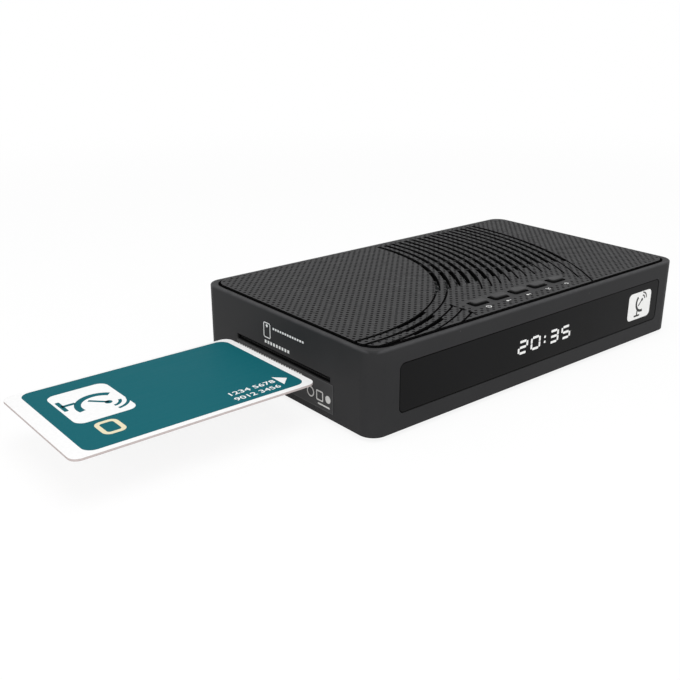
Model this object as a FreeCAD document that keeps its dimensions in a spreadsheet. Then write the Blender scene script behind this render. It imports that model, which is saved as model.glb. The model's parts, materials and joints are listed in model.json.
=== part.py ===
import FreeCAD, Part
import math
import operator
import os
import types
import Sketcher

# Satellite television receiver with a conditional-access card, in millimetres.
# +Z is up, the front window faces -Y and the card slot faces -X. The origin is the
# middle of the case's footprint on the surface that the feet stand on.

LENGTHS = {
    # case
    "case_width": 170.0,
    "case_depth": 99.0,
    "case_height": 30.5,
    "corner_radius": 6.0,
    "rim_corner_growth": 3.8,
    "wall": 1.5,
    "rim_rounding": 0.7,
    "bottom_rounding": 0.4,
    "groove_width": 1.1,
    "groove_depth": 1.6,
    "top_ledge_width": 3.0,
    "bottom_ledge_width": 1.5,
    "ledge_thickness": 1.5,
    # top cover and its vents
    "panel_rise": 0.5,
    "vent_centre_from_left": 7.0,
    "vent_centre_from_back": 9.9,
    "vent_first_radius": 77.45,
    "vent_width": 2.0,
    "vent_pitch": 4.0,
    "vent_back_margin": 5.6,
    "vent_front_line": 30.9,
    "vent_bridge_width": 1.6,
    "vent_bridge_drop": 3.5,
    "vent_bridge_recess": 0.5,
    "corner_vent_left": 21.0,
    "corner_vent_right": 40.0,
    "wide_groove_width": 1.35,
    "wide_groove_depth": 1.0,
    "line_width": 0.8,
    "line_depth": 0.7,
    "line_start_from_left": 28.5,
    "line_tick_length": 2.6,
    "line_tick_width": 1.0,
    "line_slot_lap": 2.2,
    "button_field_left_margin": 4.8,
    "button_field_right_margin": 6.0,
    "button_field_back_margin": 7.85,
    # base plate, feet and the case screws
    "floor_thickness": 1.8,
    "floor_clearance": 0.2,
    "foot_height": 1.5,
    "foot_radius": 5.0,
    "foot_toe_radius": 4.4,
    "foot_recess": 0.6,
    "foot_clearance": 0.1,
    "foot_from_side": 23.0,
    "foot_from_front": 15.5,
    "floor_slot_length": 24.0,
    "floor_slot_width": 2.0,
    "floor_slot_pitch": 5.0,
    "floor_slot_first_x": -2.0,
    "floor_slot_y": 6.0,
    "post_from_side": 11.0,
    "post_from_front": 9.5,
    "post_radius": 4.2,
    "post_height": 13.4,
    "post_hole_radius": 1.7,
    "cover_post_radius": 3.2,
    "screw_head_radius": 2.75,
    "screw_head_height": 1.9,
    "screw_head_recess": 2.4,
    "screw_head_clearance": 0.25,
    "screw_radius": 1.25,
    "screw_length": 20.0,
    "thread_clearance": 0.05,
    "thread_run_out": 1.0,
    "screw_cross_length": 3.2,
    "screw_cross_width": 0.7,
    "screw_cross_depth": 0.9,
    # front window
    "window_from_left": 12.0,
    "window_from_right": 10.5,
    "window_over_ledge": 0.9,
    "window_under_ledge": 1.2,
    "window_corner_radius": 2.2,
    "window_gap": 0.2,
    "window_recess": 0.15,
    "window_rounding": 0.25,
    "window_flange": 2.0,
    "window_tab": 4.4,
    "window_flange_thickness": 1.2,
    "stake_radius": 0.9,
    "stake_spacing": 10.0,
    "stake_from_opening": 2.7,
    "stake_head": 0.6,
    "stake_clearance": 0.1,
    # card, its slot and its reader
    "card_length": 85.6,
    "card_width": 53.98,
    "card_thickness": 0.76,
    "card_corner_radius": 3.18,
    "card_middle_y": -0.5,
    "card_level": 14.7,
    "card_stand_off": 5.0,
    "card_left_outside": 18.0,
    "slot_width": 56.0,
    "slot_height": 2.0,
    "chip_length": 12.0,
    "chip_width": 11.0,
    "chip_thickness": 0.25,
    "chip_from_edge": 15.6,
    "chip_from_middle": 3.1,
    "reader_side": 2.6,
    "reader_guide_clearance": 0.45,
    "reader_card_clearance": 0.42,
    "reader_floor": 1.4,
    "reader_wall_gap": 0.4,
    "reader_stop_gap": 0.3,
    "reader_stop_thickness": 3.1,
    "reader_shell": 2.0,
    "reader_cover_thickness": 0.8,
    "reader_cover_window": 30.0,
    "contact_length": 5.0,
    "contact_width": 1.1,
    "contact_pitch": 2.54,
    "contact_column_gap": 7.62,
    "contact_sheet": 0.15,
    "contact_card_gap": 0.1,
    "end_switch_from_card_side": 6.5,
    "end_switch_length": 5.0,
    "end_switch_width": 6.0,
    "end_switch_height": 6.4,
    "end_switch_lever": 1.0,
    "end_switch_lever_height": 0.6,
    "end_switch_lever_clearance": 0.3,
    # buttons, key board and key switches
    "button_middle_x": -1.35,
    "button_well_gap": 2.85,
    "button_from_front": 12.55,
    "button_length": 7.1,
    "button_width": 3.8,
    "button_corner_radius": 1.5,
    "button_rise": 0.95,
    "button_crown": 0.5,
    "button_end_gap": 0.5,
    "button_side_gap": 0.6,
    "button_well_corner": 1.0,
    "button_flange_lap": 0.5,
    "button_flange_thickness": 0.8,
    "button_flange_gap": 0.1,
    "button_stem_length": 1.2,
    "button_stem_width": 2.4,
    "button_travel": 0.5,
    "plunger_radius": 1.75,
    "plunger_rise": 1.2,
    "plunger_depth": 1.8,
    "plunger_clearance": 0.1,
    "key_switch_side": 6.0,
    "key_switch_height": 3.5,
    "key_board_thickness": 1.2,
    "key_board_end": 12.5,
    "key_board_front": 4.8,
    "key_board_back": 8.0,
    "key_post_radius": 2.5,
    "key_post_from_button": 9.0,
    "key_post_back": 4.3,
    "key_screw_radius": 0.9,
    "key_screw_head_radius": 1.8,
    "key_screw_head_height": 1.2,
    "key_screw_length": 5.6,
    # main board
    "standoff_height": 6.0,
    "standoff_radius": 3.0,
    "board_thickness": 1.6,
    "board_side_margin": 5.2,
    "board_edge_margin": 1.2,
    "board_post_gap": 0.5,
    "board_screw_from_post": 14.0,
    "board_screw_from_front": 7.5,
    "board_screw_from_reader": 8.0,
    "board_screw_from_back": 22.5,
    "board_screw_radius": 1.1,
    "board_screw_head_radius": 2.5,
    "board_screw_head_height": 1.6,
    "board_screw_length": 6.0,
    "board_hole_clearance": 0.4,
    # parts on the main board
    "chip_side": 17.0,
    "chip_height": 1.6,
    "chip_middle_y": 6.0,
    "pad_side": 15.0,
    "pad_thickness": 0.5,
    "heatsink_side": 28.0,
    "heatsink_base": 2.0,
    "heatsink_height": 8.0,
    "heatsink_fin": 1.2,
    "heatsink_fin_pitch": 4.0,
    "memory_length": 13.0,
    "memory_width": 9.0,
    "memory_height": 1.1,
    "flash_length": 18.4,
    "flash_width": 12.0,
    "flash_height": 1.0,
    "flash_from_chip": 7.6,
    "crystal_length": 11.4,
    "crystal_width": 4.7,
    "crystal_height": 3.5,
    "crystal_from_chip": 8.2,
    "crystal_y": -14.0,
    "regulator_length": 6.5,
    "regulator_width": 3.5,
    "regulator_height": 1.8,
    "coil_side": 8.0,
    "coil_height": 4.5,
    "capacitor_radius": 4.0,
    "capacitor_height": 11.5,
    # rear sockets
    "socket_proud": 0.3,
    "socket_clearance": 0.25,
    "power_socket_width": 9.0,
    "power_socket_height": 11.0,
    "power_socket_depth": 14.2,
    "power_bore_radius": 2.9,
    "power_bore_depth": 9.5,
    "power_pin_radius": 1.0,
    "power_pin_short": 1.0,
    "av_jack_width": 6.5,
    "av_jack_height": 6.0,
    "av_jack_depth": 14.0,
    "av_bore_radius": 1.8,
    "av_bore_depth": 12.0,
    "optical_side": 9.7,
    "optical_depth": 13.2,
    "optical_wall": 0.7,
    "optical_mouth_depth": 6.5,
    "optical_bore_radius": 1.6,
    "optical_bore_depth": 3.0,
    "hdmi_width": 15.0,
    "hdmi_height": 5.6,
    "hdmi_depth": 11.8,
    "hdmi_tongue_width": 10.5,
    "usb_width": 13.2,
    "usb_height": 5.8,
    "usb_depth": 14.0,
    "usb_tongue_width": 11.1,
    "socket_sheet": 0.45,
    "sheet_socket_back": 1.8,
    "tongue_thickness": 1.5,
    "tongue_short": 2.5,
    "lan_width": 16.0,
    "lan_height": 13.5,
    "lan_depth": 21.3,
    "lan_mouth_width": 11.8,
    "lan_mouth_height": 8.2,
    "lan_mouth_depth": 14.0,
    "lan_mouth_up": 3.4,
    "lan_latch_width": 6.2,
    "lan_latch_height": 2.2,
    # tuner
    "tuner_width": 36.0,
    "tuner_depth": 24.0,
    "tuner_height": 13.2,
    "tuner_wall_gap": 1.7,
    "tuner_lid": 0.5,
    "tuner_lid_overhang": 0.3,
    "lnb_from_tuner_side": 9.5,
    "lnb_level": 6.6,
    "lnb_radius": 4.75,
    "lnb_reach": 10.0,
    "lnb_hole_clearance": 0.45,
    "lnb_collar_radius": 5.4,
    "lnb_bore_radius": 3.4,
    "lnb_bore_depth": 9.0,
    "lnb_insulator_clearance": 0.05,
    "lnb_pin_hole_radius": 0.6,
    "lnb_pin_hole_depth": 6.0,
    # display
    "display_window_gap": 1.2,
    "display_post_gap": 3.8,
    "display_key_board_gap": 0.9,
    "display_board_thickness": 1.6,
    "digits_width": 31.0,
    "digits_margin": 0.4,
    "digits_depth": 6.8,
    "receiver_eye_from_end": 14.0,
    "receiver_eye_width": 6.0,
    "receiver_eye_depth": 4.0,
    "receiver_eye_height": 7.0,
    "receiver_lens_radius": 1.8,
    "lamp_from_end": 16.0,
    "lamp_radius": 1.5,
    "lamp_reach": 6.0,
    "header_from_end": 34.0,
    "header_length": 25.0,
    "header_depth": 2.5,
    "header_height": 3.0,
    "ribbon_width": 10.0,
    "ribbon_thickness": 0.3,
    "ribbon_back": 5.7,
    "ribbon_socket_length": 12.0,
    "ribbon_socket_depth": 3.0,
    "ribbon_socket_height": 2.0,
    # label on the card-slot side
    "label_front_lap": 1.5,
    "label_slot_gap": 0.4,
    "label_height": 10.8,
    "label_thickness": 0.12,
}

FULL_VENT_RINGS = 12
VENT_RINGS = 16
CORNER_VENT_RINGS = 3
JOINING_LINES = range(2)
FIELD_LINES = range(2, 5)
OUTER_LINES = range(4, VENT_RINGS)
VENT_SWEEP = (-95, 5)
BRIDGE_ANGLES = (-25.5, -17.4)
OVERSHOOT = 1.0
HEATSINK_FINS = 7
FLOOR_SLOTS = 6
MEMORY_CHIPS = 2
SUPPLY_STAGES = 3
CONTACT_ROWS = 4
BUTTONS = ("power", "volume_down", "volume_up", "channel_down", "channel_up")


class Size:
    """A length that carries its number and the sheet formula that gives it."""

    def __init__(self, number, formula):
        self.number = number
        self.formula = formula

    def joined(self, other, sign, work):
        other = size_of(other)
        return Size(work(self.number, other.number), f"({self.formula} {sign} {other.formula})")

    def __add__(self, other):
        return self.joined(other, "+", operator.add)

    def __sub__(self, other):
        return self.joined(other, "-", operator.sub)

    def __mul__(self, other):
        return self.joined(other, "*", operator.mul)

    def __truediv__(self, other):
        return self.joined(other, "/", operator.truediv)

    def __rmul__(self, other):
        return size_of(other) * self

    def __neg__(self):
        return self * -1


def size_of(value):
    return value if isinstance(value, Size) else Size(value, f"({value})")


document = FreeCAD.newDocument("receiver")
sheet = document.addObject("Spreadsheet::Sheet", "sizes")
for row, (alias, number) in enumerate(LENGTHS.items(), start=1):
    sheet.set(f"A{row}", alias)
    sheet.set(f"B{row}", str(number))
    sheet.setAlias(f"B{row}", alias)
document.recompute()
dim = types.SimpleNamespace()
for alias, number in LENGTHS.items():
    setattr(dim, alias, Size(number, f"<<sizes>>.{alias}"))
nodes = {}


# ---------------------------------------------------------------- helpers
def bind(piece, **sizes):
    for name, size in sizes.items():
        piece.setExpression(name, size_of(size).formula)


def place(piece, x, y, z):
    for axis, size in zip("xyz", (x, y, z)):
        piece.setExpression(f"Placement.Base.{axis}", size_of(size).formula)


def span(middle, length):
    return middle - length / 2, middle + length / 2


def spread(start, end, widths):
    """Spans of the given widths, in order, with one equal gap before, between and after them."""
    spare = end - start
    for width in widths:
        spare = spare - width
    gap = spare / (len(widths) + 1)
    spans = []
    low = start
    for width in widths:
        low = low + gap
        spans.append((low, low + width))
        low = low + width
    return spans


def middle_of(pair):
    return (pair[0] + pair[1]) / 2


def box(name, x, y, z):
    piece = document.addObject("Part::Box", name)
    bind(piece, Length=x[1] - x[0], Width=y[1] - y[0], Height=z[1] - z[0])
    place(piece, x[0], y[0], z[0])
    return piece


def cylinder(name, centre, along, radius, axis="z"):
    """A round bar; centre gives its two other coordinates in X, Y, Z order."""
    piece = document.addObject("Part::Cylinder", name)
    bind(piece, Radius=radius, Height=along[1] - along[0])
    if axis == "z":
        place(piece, centre[0], centre[1], along[0])
    elif axis == "y":
        piece.Placement.Rotation = FreeCAD.Rotation(FreeCAD.Vector(1, 0, 0), -90)
        place(piece, centre[0], along[0], centre[1])
    return piece


def fuse(name, *solids):
    piece = document.addObject("Part::MultiFuse", name)
    piece.Shapes = list(solids)
    return piece


def group(name, *solids):
    piece = document.addObject("Part::Compound", name)
    piece.Links = list(solids)
    return piece


def cut(name, solid, *tools):
    piece = document.addObject("Part::Cut", name)
    piece.Base = solid
    piece.Tool = tools[0] if len(tools) == 1 else fuse(f"{name}_tools", *tools)
    piece.Refine = False
    return piece


def common(name, solid, tool):
    piece = document.addObject("Part::Common", name)
    piece.Base = solid
    piece.Tool = tool
    piece.Refine = False
    return piece


def keep(piece, label):
    piece.Label = label
    nodes[label] = piece
    return piece


def new_body(label):
    return keep(document.addObject("PartDesign::Body", f"{label}_body"), label)


def sketch_on(body, name, role, offset):
    """A sketch parallel to one origin plane of the body, moved along its normal."""
    sketch = body.newObject("Sketcher::SketchObject", name)
    plane = next(feature for feature in body.Origin.OriginFeatures if feature.Role == role)
    sketch.AttachmentSupport = (plane, "")
    sketch.MapMode = "FlatFace"
    sketch.setExpression("AttachmentOffset.Base.z", size_of(offset).formula)
    return sketch


def drive(sketch, kind, *places_and_size):
    *places, size = places_and_size
    size = size_of(size)
    index = sketch.addConstraint(Sketcher.Constraint(kind, *places, size.number))
    sketch.setExpression(f"Constraints[{index}]", size.formula)


def fix_lines(sketch, bottom, right, top, left, x, y):
    """Holds the four straight sides of an upright rectangle at their places."""
    for side in (bottom, top):
        sketch.addConstraint(Sketcher.Constraint("Horizontal", side))
    for side in (right, left):
        sketch.addConstraint(Sketcher.Constraint("Vertical", side))
    drive(sketch, "DistanceX", -1, 1, left, 1, x[0])
    drive(sketch, "DistanceX", -1, 1, right, 1, x[1])
    drive(sketch, "DistanceY", -1, 1, bottom, 1, y[0])
    drive(sketch, "DistanceY", -1, 1, top, 1, y[1])


def rectangle(sketch, x, y):
    x0, x1, y0, y1 = (size_of(size).number for size in (*x, *y))
    corners = [FreeCAD.Vector(*point, 0) for point in ((x0, y0), (x1, y0), (x1, y1), (x0, y1))]
    sides = [sketch.addGeometry(Part.LineSegment(corners[i], corners[(i + 1) % 4])) for i in range(4)]
    for i in range(4):
        sketch.addConstraint(Sketcher.Constraint("Coincident", sides[i], 2, sides[(i + 1) % 4], 1))
    fix_lines(sketch, *sides, x, y)


def rounded_rectangle(sketch, x, y, radius):
    x0, x1, y0, y1 = (size_of(size).number for size in (*x, *y))
    r = size_of(radius).number
    ends = (
        ((x0 + r, y0), (x1 - r, y0)),
        ((x1, y0 + r), (x1, y1 - r)),
        ((x1 - r, y1), (x0 + r, y1)),
        ((x0, y1 - r), (x0, y0 + r)),
    )
    middles = ((x1 - r, y0 + r), (x1 - r, y1 - r), (x0 + r, y1 - r), (x0 + r, y0 + r))
    sides = []
    corners = []
    for i in range(4):
        start, end = (FreeCAD.Vector(*point, 0) for point in ends[i])
        sides.append(sketch.addGeometry(Part.LineSegment(start, end)))
        ring = Part.Circle(FreeCAD.Vector(*middles[i], 0), FreeCAD.Vector(0, 0, 1), r)
        first_angle = math.radians(90 * i - 90)
        corners.append(sketch.addGeometry(Part.ArcOfCircle(ring, first_angle, first_angle + math.pi / 2)))
    for i in range(4):
        sketch.addConstraint(Sketcher.Constraint("Tangent", sides[i], 2, corners[i], 1))
        sketch.addConstraint(Sketcher.Constraint("Tangent", corners[i], 2, sides[(i + 1) % 4], 1))
    for i in range(1, 4):
        sketch.addConstraint(Sketcher.Constraint("Equal", corners[0], corners[i]))
    drive(sketch, "Radius", corners[0], radius)
    fix_lines(sketch, *sides, x, y)


def circle(sketch, x, y, radius):
    x, y, radius = size_of(x), size_of(y), size_of(radius)
    middle = FreeCAD.Vector(x.number, y.number, 0)
    ring = sketch.addGeometry(Part.Circle(middle, FreeCAD.Vector(0, 0, 1), radius.number))
    drive(sketch, "DistanceX", -1, 1, ring, 3, x)
    drive(sketch, "DistanceY", -1, 1, ring, 3, y)
    drive(sketch, "Radius", ring, radius)


def pad(body, sketch, length, backwards=False):
    feature = body.newObject("PartDesign::Pad", f"{sketch.Name}_pad")
    feature.Profile = sketch
    feature.Reversed = backwards
    bind(feature, Length=length)
    return feature


def pocket(body, sketch, length, backwards=False):
    feature = body.newObject("PartDesign::Pocket", f"{sketch.Name}_pocket")
    feature.Profile = sketch
    feature.Reversed = backwards
    bind(feature, Length=length)
    return feature


def round_edges(body, feature, direction, radius):
    """Rounds every edge of the outermost flat face that looks along the direction."""
    document.recompute()
    faces = feature.Shape.Faces
    looking = [
        i
        for i, face in enumerate(faces)
        if isinstance(face.Surface, Part.Plane) and face.normalAt(0, 0).dot(direction) > 0.999
    ]
    outermost = max(looking, key=lambda i: faces[i].CenterOfMass.dot(direction))
    fillet = body.newObject("PartDesign::Fillet", f"{feature.Name}_rounding")
    fillet.Base = (feature, [f"Face{outermost + 1}"])
    bind(fillet, Radius=radius)
    document.recompute()
    return fillet


# ---------------------------------------------------------------- levels and places
left_face = -dim.case_width / 2
right_face = dim.case_width / 2
front_face = -dim.case_depth / 2
back_face = dim.case_depth / 2
case_bottom = dim.foot_height
case_top = case_bottom + dim.case_height
floor_top = case_bottom + dim.floor_thickness
ledge_top = case_top - dim.groove_depth
panel_top = case_top + dim.panel_rise
board_bottom = floor_top + dim.standoff_height
board_top = board_bottom + dim.board_thickness
post_top = floor_top + dim.post_height
front_wall_inside = front_face + dim.wall
back_wall_inside = back_face - dim.wall
left_wall_inside = left_face + dim.wall
panel_inset = dim.wall + dim.groove_width
corners = [(-1, -1), (1, -1), (1, 1), (-1, 1)]
post_x = right_face - dim.post_from_side
post_y = back_face - dim.post_from_front
post_places = [(post_x * i, post_y * j) for i, j in corners]
foot_x = right_face - dim.foot_from_side
foot_y = back_face - dim.foot_from_front
foot_places = [(foot_x * i, foot_y * j) for i, j in corners]
post_reach = dim.post_radius + dim.board_post_gap
card_middle = case_bottom + dim.card_level
card_bottom = card_middle - dim.card_thickness / 2
slot_y = span(dim.card_middle_y, dim.slot_width)
slot_z = span(card_middle, dim.slot_height)
button_well_length = dim.button_length + dim.button_end_gap * 2
button_well_width = dim.button_width + dim.button_side_gap * 2
button_pitch = button_well_length + dim.button_well_gap
button_y = front_face + dim.button_from_front
button_xs = [dim.button_middle_x + button_pitch * (i - (len(BUTTONS) - 1) / 2) for i in range(len(BUTTONS))]
flange_top = ledge_top - dim.button_flange_gap
flange_bottom = flange_top - dim.button_flange_thickness
plunger_top = flange_bottom - dim.button_stem_length
key_switch_top = plunger_top - dim.plunger_rise
key_board_top = key_switch_top - dim.key_switch_height
key_board_bottom = key_board_top - dim.key_board_thickness
key_post_places = [
    (button_xs[0] - dim.key_post_from_button, button_y + dim.key_post_back),
    (button_xs[-1] + dim.key_post_from_button, button_y + dim.key_post_back),
]
window_x = (left_face + dim.window_from_left, right_face - dim.window_from_right)
window_z = (
    floor_top + dim.ledge_thickness + dim.window_over_ledge + dim.window_flange,
    ledge_top - dim.ledge_thickness - dim.window_under_ledge - dim.window_flange,
)
stake_places = [
    (x, middle_of(window_z) + dim.stake_spacing / 2 * side)
    for x in (window_x[0] - dim.stake_from_opening, window_x[1] + dim.stake_from_opening)
    for side in (-1, 1)
]

# card reader: its end is set by the card's length when the card is fully in
card_inserted_edge = left_face - dim.card_left_outside + dim.card_length
reader_left = left_wall_inside + dim.reader_wall_gap
reader_stop = card_inserted_edge + dim.reader_stop_gap
reader_right = reader_stop + dim.reader_stop_thickness
end_switch_x = (reader_right, reader_right + dim.end_switch_length)

# main board and the display board before it
window_flange_back = front_wall_inside + dim.window_flange_thickness
board_x = (left_wall_inside + dim.board_side_margin, right_face - dim.wall - dim.board_side_margin)
board_y = (window_flange_back + dim.board_edge_margin, back_wall_inside - dim.board_edge_margin)
display_front = window_flange_back + dim.display_window_gap + dim.digits_depth
display_back = display_front + dim.display_board_thickness
display_reach = post_x - dim.post_radius - dim.display_post_gap
display_x = (-display_reach, display_reach)
display_z = (board_top, key_board_bottom - dim.display_key_board_gap)
header_y = (display_back, display_back + dim.header_depth)

# the row of sockets and the tuner fills the rear wall between the posts
rear_row = spread(
    post_reach - post_x,
    post_x - post_reach,
    (
        dim.power_socket_width,
        dim.av_jack_width,
        dim.optical_side,
        dim.hdmi_width,
        dim.usb_width,
        dim.lan_width,
        dim.tuner_width,
    ),
)
power_x, av_x, optical_x, hdmi_x, usb_x, lan_x, tuner_x = rear_row
power_z = (board_top, board_top + dim.power_socket_height)
av_z = (board_top, board_top + dim.av_jack_height)
optical_z = (board_top, board_top + dim.optical_side)
hdmi_z = (board_top, board_top + dim.hdmi_height)
usb_z = (board_top, board_top + dim.usb_height)
lan_z = (board_top, board_top + dim.lan_height)
square_sockets = [
    (power_x, power_z),
    (av_x, av_z),
    (optical_x, optical_z),
    (hdmi_x, hdmi_z),
    (usb_x, usb_z),
    (lan_x, lan_z),
]
socket_mouth = back_face + dim.socket_proud
lnb_z = board_top + dim.lnb_level
lnb_input_x = tuner_x[0] + dim.lnb_from_tuner_side
lnb_output_x = tuner_x[1] - dim.lnb_from_tuner_side
tuner_back = back_wall_inside - dim.tuner_wall_gap
tuner_y = (tuner_back - dim.tuner_depth, tuner_back)
tuner_top = board_top + dim.tuner_height

# columns of parts on the board, from the card's end switch to the board's right edge
heatsink_x, memory_x, regulator_x, coil_x, capacitor_x = spread(
    end_switch_x[1],
    board_x[1],
    (
        dim.heatsink_side,
        dim.memory_width,
        dim.regulator_length,
        dim.coil_side,
        dim.capacitor_radius * 2,
    ),
)
chip_x = middle_of(heatsink_x)
crystal_x = chip_x - dim.crystal_from_chip
right_column = spread(
    post_reach - post_y,
    tuner_y[0],
    [dim.capacitor_radius * 2] * SUPPLY_STAGES + [dim.board_screw_head_radius * 2],
)
supply_ys = [middle_of(place_in_column) for place_in_column in right_column[:SUPPLY_STAGES]]
board_screw_places = [
    (dim.board_screw_from_post - post_x, front_face + dim.board_screw_from_front),
    (post_x - dim.board_screw_from_post, front_face + dim.board_screw_from_front),
    (reader_right + dim.board_screw_from_reader, back_face - dim.board_screw_from_back),
    (middle_of(capacitor_x), middle_of(right_column[-1])),
]


def inset(amount, growth=0):
    """The case's outline drawn in: its x pair, its y pair and its corner radius with its growth."""
    x = (left_face + amount, right_face - amount)
    y = (front_face + amount, back_face - amount)
    return x, y, dim.corner_radius + growth - amount


# ---------------------------------------------------------------- case shell
def make_case_shell():
    body = new_body("case_shell")
    outline = sketch_on(body, "shell_outline", "XY_Plane", case_bottom)
    rounded_rectangle(outline, *inset(0))
    block = pad(body, outline, dim.case_height)
    up = FreeCAD.Vector(0, 0, 1)
    rounded_top = round_edges(body, block, up, dim.rim_rounding)
    round_edges(body, rounded_top, -up, dim.bottom_rounding)
    within_rim = sketch_on(body, "shell_within_rim", "XY_Plane", case_top)
    rounded_rectangle(within_rim, *inset(dim.wall, dim.rim_corner_growth))
    pocket(body, within_rim, case_top - ledge_top)
    inside = sketch_on(body, "shell_inside", "XY_Plane", ledge_top)
    rounded_rectangle(inside, *inset(dim.wall))
    pocket(body, inside, ledge_top - case_bottom)
    for name, reach, low in (
        ("top_ledge", dim.top_ledge_width, ledge_top - dim.ledge_thickness),
        ("bottom_ledge", dim.bottom_ledge_width, floor_top),
    ):
        ring = sketch_on(body, name, "XY_Plane", low)
        rounded_rectangle(ring, *inset(dim.wall))
        rectangle(ring, *inset(dim.wall + reach)[:2])
        pad(body, ring, dim.ledge_thickness)
    opening = sketch_on(body, "window_opening", "XZ_Plane", -front_face)
    rounded_rectangle(opening, window_x, window_z, dim.window_corner_radius)
    pocket(body, opening, dim.wall)
    slot = sketch_on(body, "card_slot", "YZ_Plane", left_face)
    rectangle(slot, slot_y, slot_z)
    pocket(body, slot, dim.wall, backwards=True)
    sockets = sketch_on(body, "socket_openings", "XZ_Plane", -back_face)
    margin = dim.socket_clearance
    for x, z in square_sockets:
        rectangle(sockets, (x[0] - margin, x[1] + margin), (z[0] - margin, z[1] + margin))
    for x in (lnb_input_x, lnb_output_x):
        circle(sockets, x, lnb_z, dim.lnb_collar_radius + dim.lnb_hole_clearance)
    pocket(body, sockets, dim.wall, backwards=True)
    stakes = sketch_on(body, "window_stakes", "XZ_Plane", -front_wall_inside)
    for x, z in stake_places:
        circle(stakes, x, z, dim.stake_radius)
    pad(body, stakes, dim.window_flange_thickness + dim.stake_head, backwards=True)


# ---------------------------------------------------------------- top cover
vent_x = left_face + dim.vent_centre_from_left
vent_y = back_face - dim.vent_centre_from_back
field_left = button_xs[0] - button_well_length / 2 - dim.button_field_left_margin
field_right = button_xs[-1] + button_well_length / 2 + dim.button_field_right_margin
field_top = button_y + button_well_width / 2 + dim.button_field_back_margin
slots_front = front_face + dim.vent_front_line
slots_back = back_face - dim.vent_back_margin
panel_front = front_face + panel_inset
through = (ledge_top - OVERSHOOT, panel_top + OVERSHOOT)
line_z = (panel_top - dim.line_depth, panel_top + OVERSHOOT)
groove_z = (panel_top - dim.wide_groove_depth, panel_top + OVERSHOOT)


def vent_rings(name, rings, inner, width, z):
    """Ring sectors about the vent centre, towards the front and the right; ring 0 starts at `inner`."""
    profile = document.addObject("Sketcher::SketchObject", f"{name}_profile")
    profile.Placement.Rotation = FreeCAD.Rotation(FreeCAD.Vector(1, 0, 0), 90)
    for i in rings:
        start = inner + dim.vent_pitch * i
        rectangle(profile, (start, start + width), z)
    sectors = document.addObject("Part::Revolution", name)
    sectors.Source = profile
    sectors.Axis = FreeCAD.Vector(0, 0, 1)
    sectors.Angle = VENT_SWEEP[1] - VENT_SWEEP[0]
    sectors.Solid = True
    sectors.Placement.Rotation = FreeCAD.Rotation(FreeCAD.Vector(0, 0, 1), VENT_SWEEP[0])
    place(sectors, vent_x, vent_y, 0)
    return sectors


def strip(name, angle, low, high, top):
    """A bar that runs outwards from a point before the vent centre, from `low` to `high` across its line."""
    bar = document.addObject("Part::Box", name)
    bind(bar, Length=dim.case_width, Width=high - low, Height=top - through[0])
    turn = FreeCAD.Rotation(FreeCAD.Vector(0, 0, 1), angle)
    bar.Placement.Rotation = turn
    side = turn.multVec(FreeCAD.Vector(0, 1, 0))
    place(bar, vent_x + low * side.x, vent_y - dim.vent_bridge_drop + low * side.y, through[0])
    return bar


def make_through_slots():
    """The slots, crossed by two sunk bridges; the outermost rings start only at the first of them."""
    inner, width = dim.vent_first_radius, dim.vent_width
    corner_x = (left_face + dim.corner_vent_left, left_face + dim.corner_vent_right)
    field = common(
        "field_slots",
        vent_rings("field_slot_rings", range(FULL_VENT_RINGS), inner, width, through),
        box("field_slot_region", (corner_x[1], right_face), (slots_front, slots_back), through),
    )
    beyond_bridge = common(
        "outermost_slot_region",
        strip("beyond_first_bridge", BRIDGE_ANGLES[0], 0, dim.case_width, through[1]),
        box("outermost_slot_box", (corner_x[1], right_face), (front_face, slots_back), through),
    )
    outermost = common(
        "outermost_slots",
        vent_rings("outermost_slot_rings", range(FULL_VENT_RINGS, VENT_RINGS), inner, width, through),
        beyond_bridge,
    )
    corner = common(
        "corner_slots",
        vent_rings("corner_slot_rings", range(CORNER_VENT_RINGS), inner, width, through),
        box("corner_slot_region", corner_x, (panel_front, slots_front), through),
    )
    half = dim.vent_bridge_width / 2
    bridge_top = panel_top - dim.vent_bridge_recess
    bridges = [
        strip(f"vent_bridge_{i}", angle, half * -1, half, bridge_top) for i, angle in enumerate(BRIDGE_ANGLES)
    ]
    bridged = cut("bridged_slots", fuse("field_slots_all", field, outermost), *bridges)
    return group("through_slots", bridged, corner)


def make_lines():
    """The shallow lines and grooves that carry the slots' curves on over the closed part of the panel."""
    inner, width = dim.vent_first_radius, dim.line_width
    corner_x = (left_face + dim.corner_vent_left, left_face + dim.corner_vent_right)
    grooves = common(
        "wide_grooves",
        vent_rings("groove_rings", range(CORNER_VENT_RINGS), inner, dim.wide_groove_width, groove_z),
        box("groove_region", (left_face, corner_x[0]), (front_face, slots_front), groove_z),
    )
    joining = common(
        "joining_lines",
        vent_rings("joining_rings", JOINING_LINES, inner, width, line_z),
        box("joining_region", (corner_x[1], right_face), (panel_front, slots_front), line_z),
    )
    field = common(
        "field_lines",
        vent_rings("field_rings", FIELD_LINES, inner, width, line_z),
        box(
            "field_region",
            (left_face + dim.line_start_from_left, field_left),
            (front_face, slots_front),
            line_z,
        ),
    )
    ticks = []
    for i in FIELD_LINES:
        radius = (inner + dim.vent_pitch * i).number
        run = (field_left - vent_x).number
        line_end = vent_y - math.sqrt(radius * radius - run * run)
        tick_y = (line_end - dim.line_tick_length, line_end + width)
        ticks.append(box(f"field_tick_{i}", (field_left - dim.line_tick_width, field_left), tick_y, line_z))
    lines_back = slots_front + dim.line_slot_lap
    outer = common(
        "outer_lines",
        vent_rings("outer_rings", OUTER_LINES, inner + dim.vent_width - width, width, line_z),
        fuse(
            "outer_region",
            box("outer_region_back", (field_left, right_face), (field_top, lines_back), line_z),
            box("outer_region_right", (field_right, right_face), (front_face, field_top), line_z),
        ),
    )
    return fuse("panel_lines", grooves, joining, field, outer, *ticks)


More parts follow.
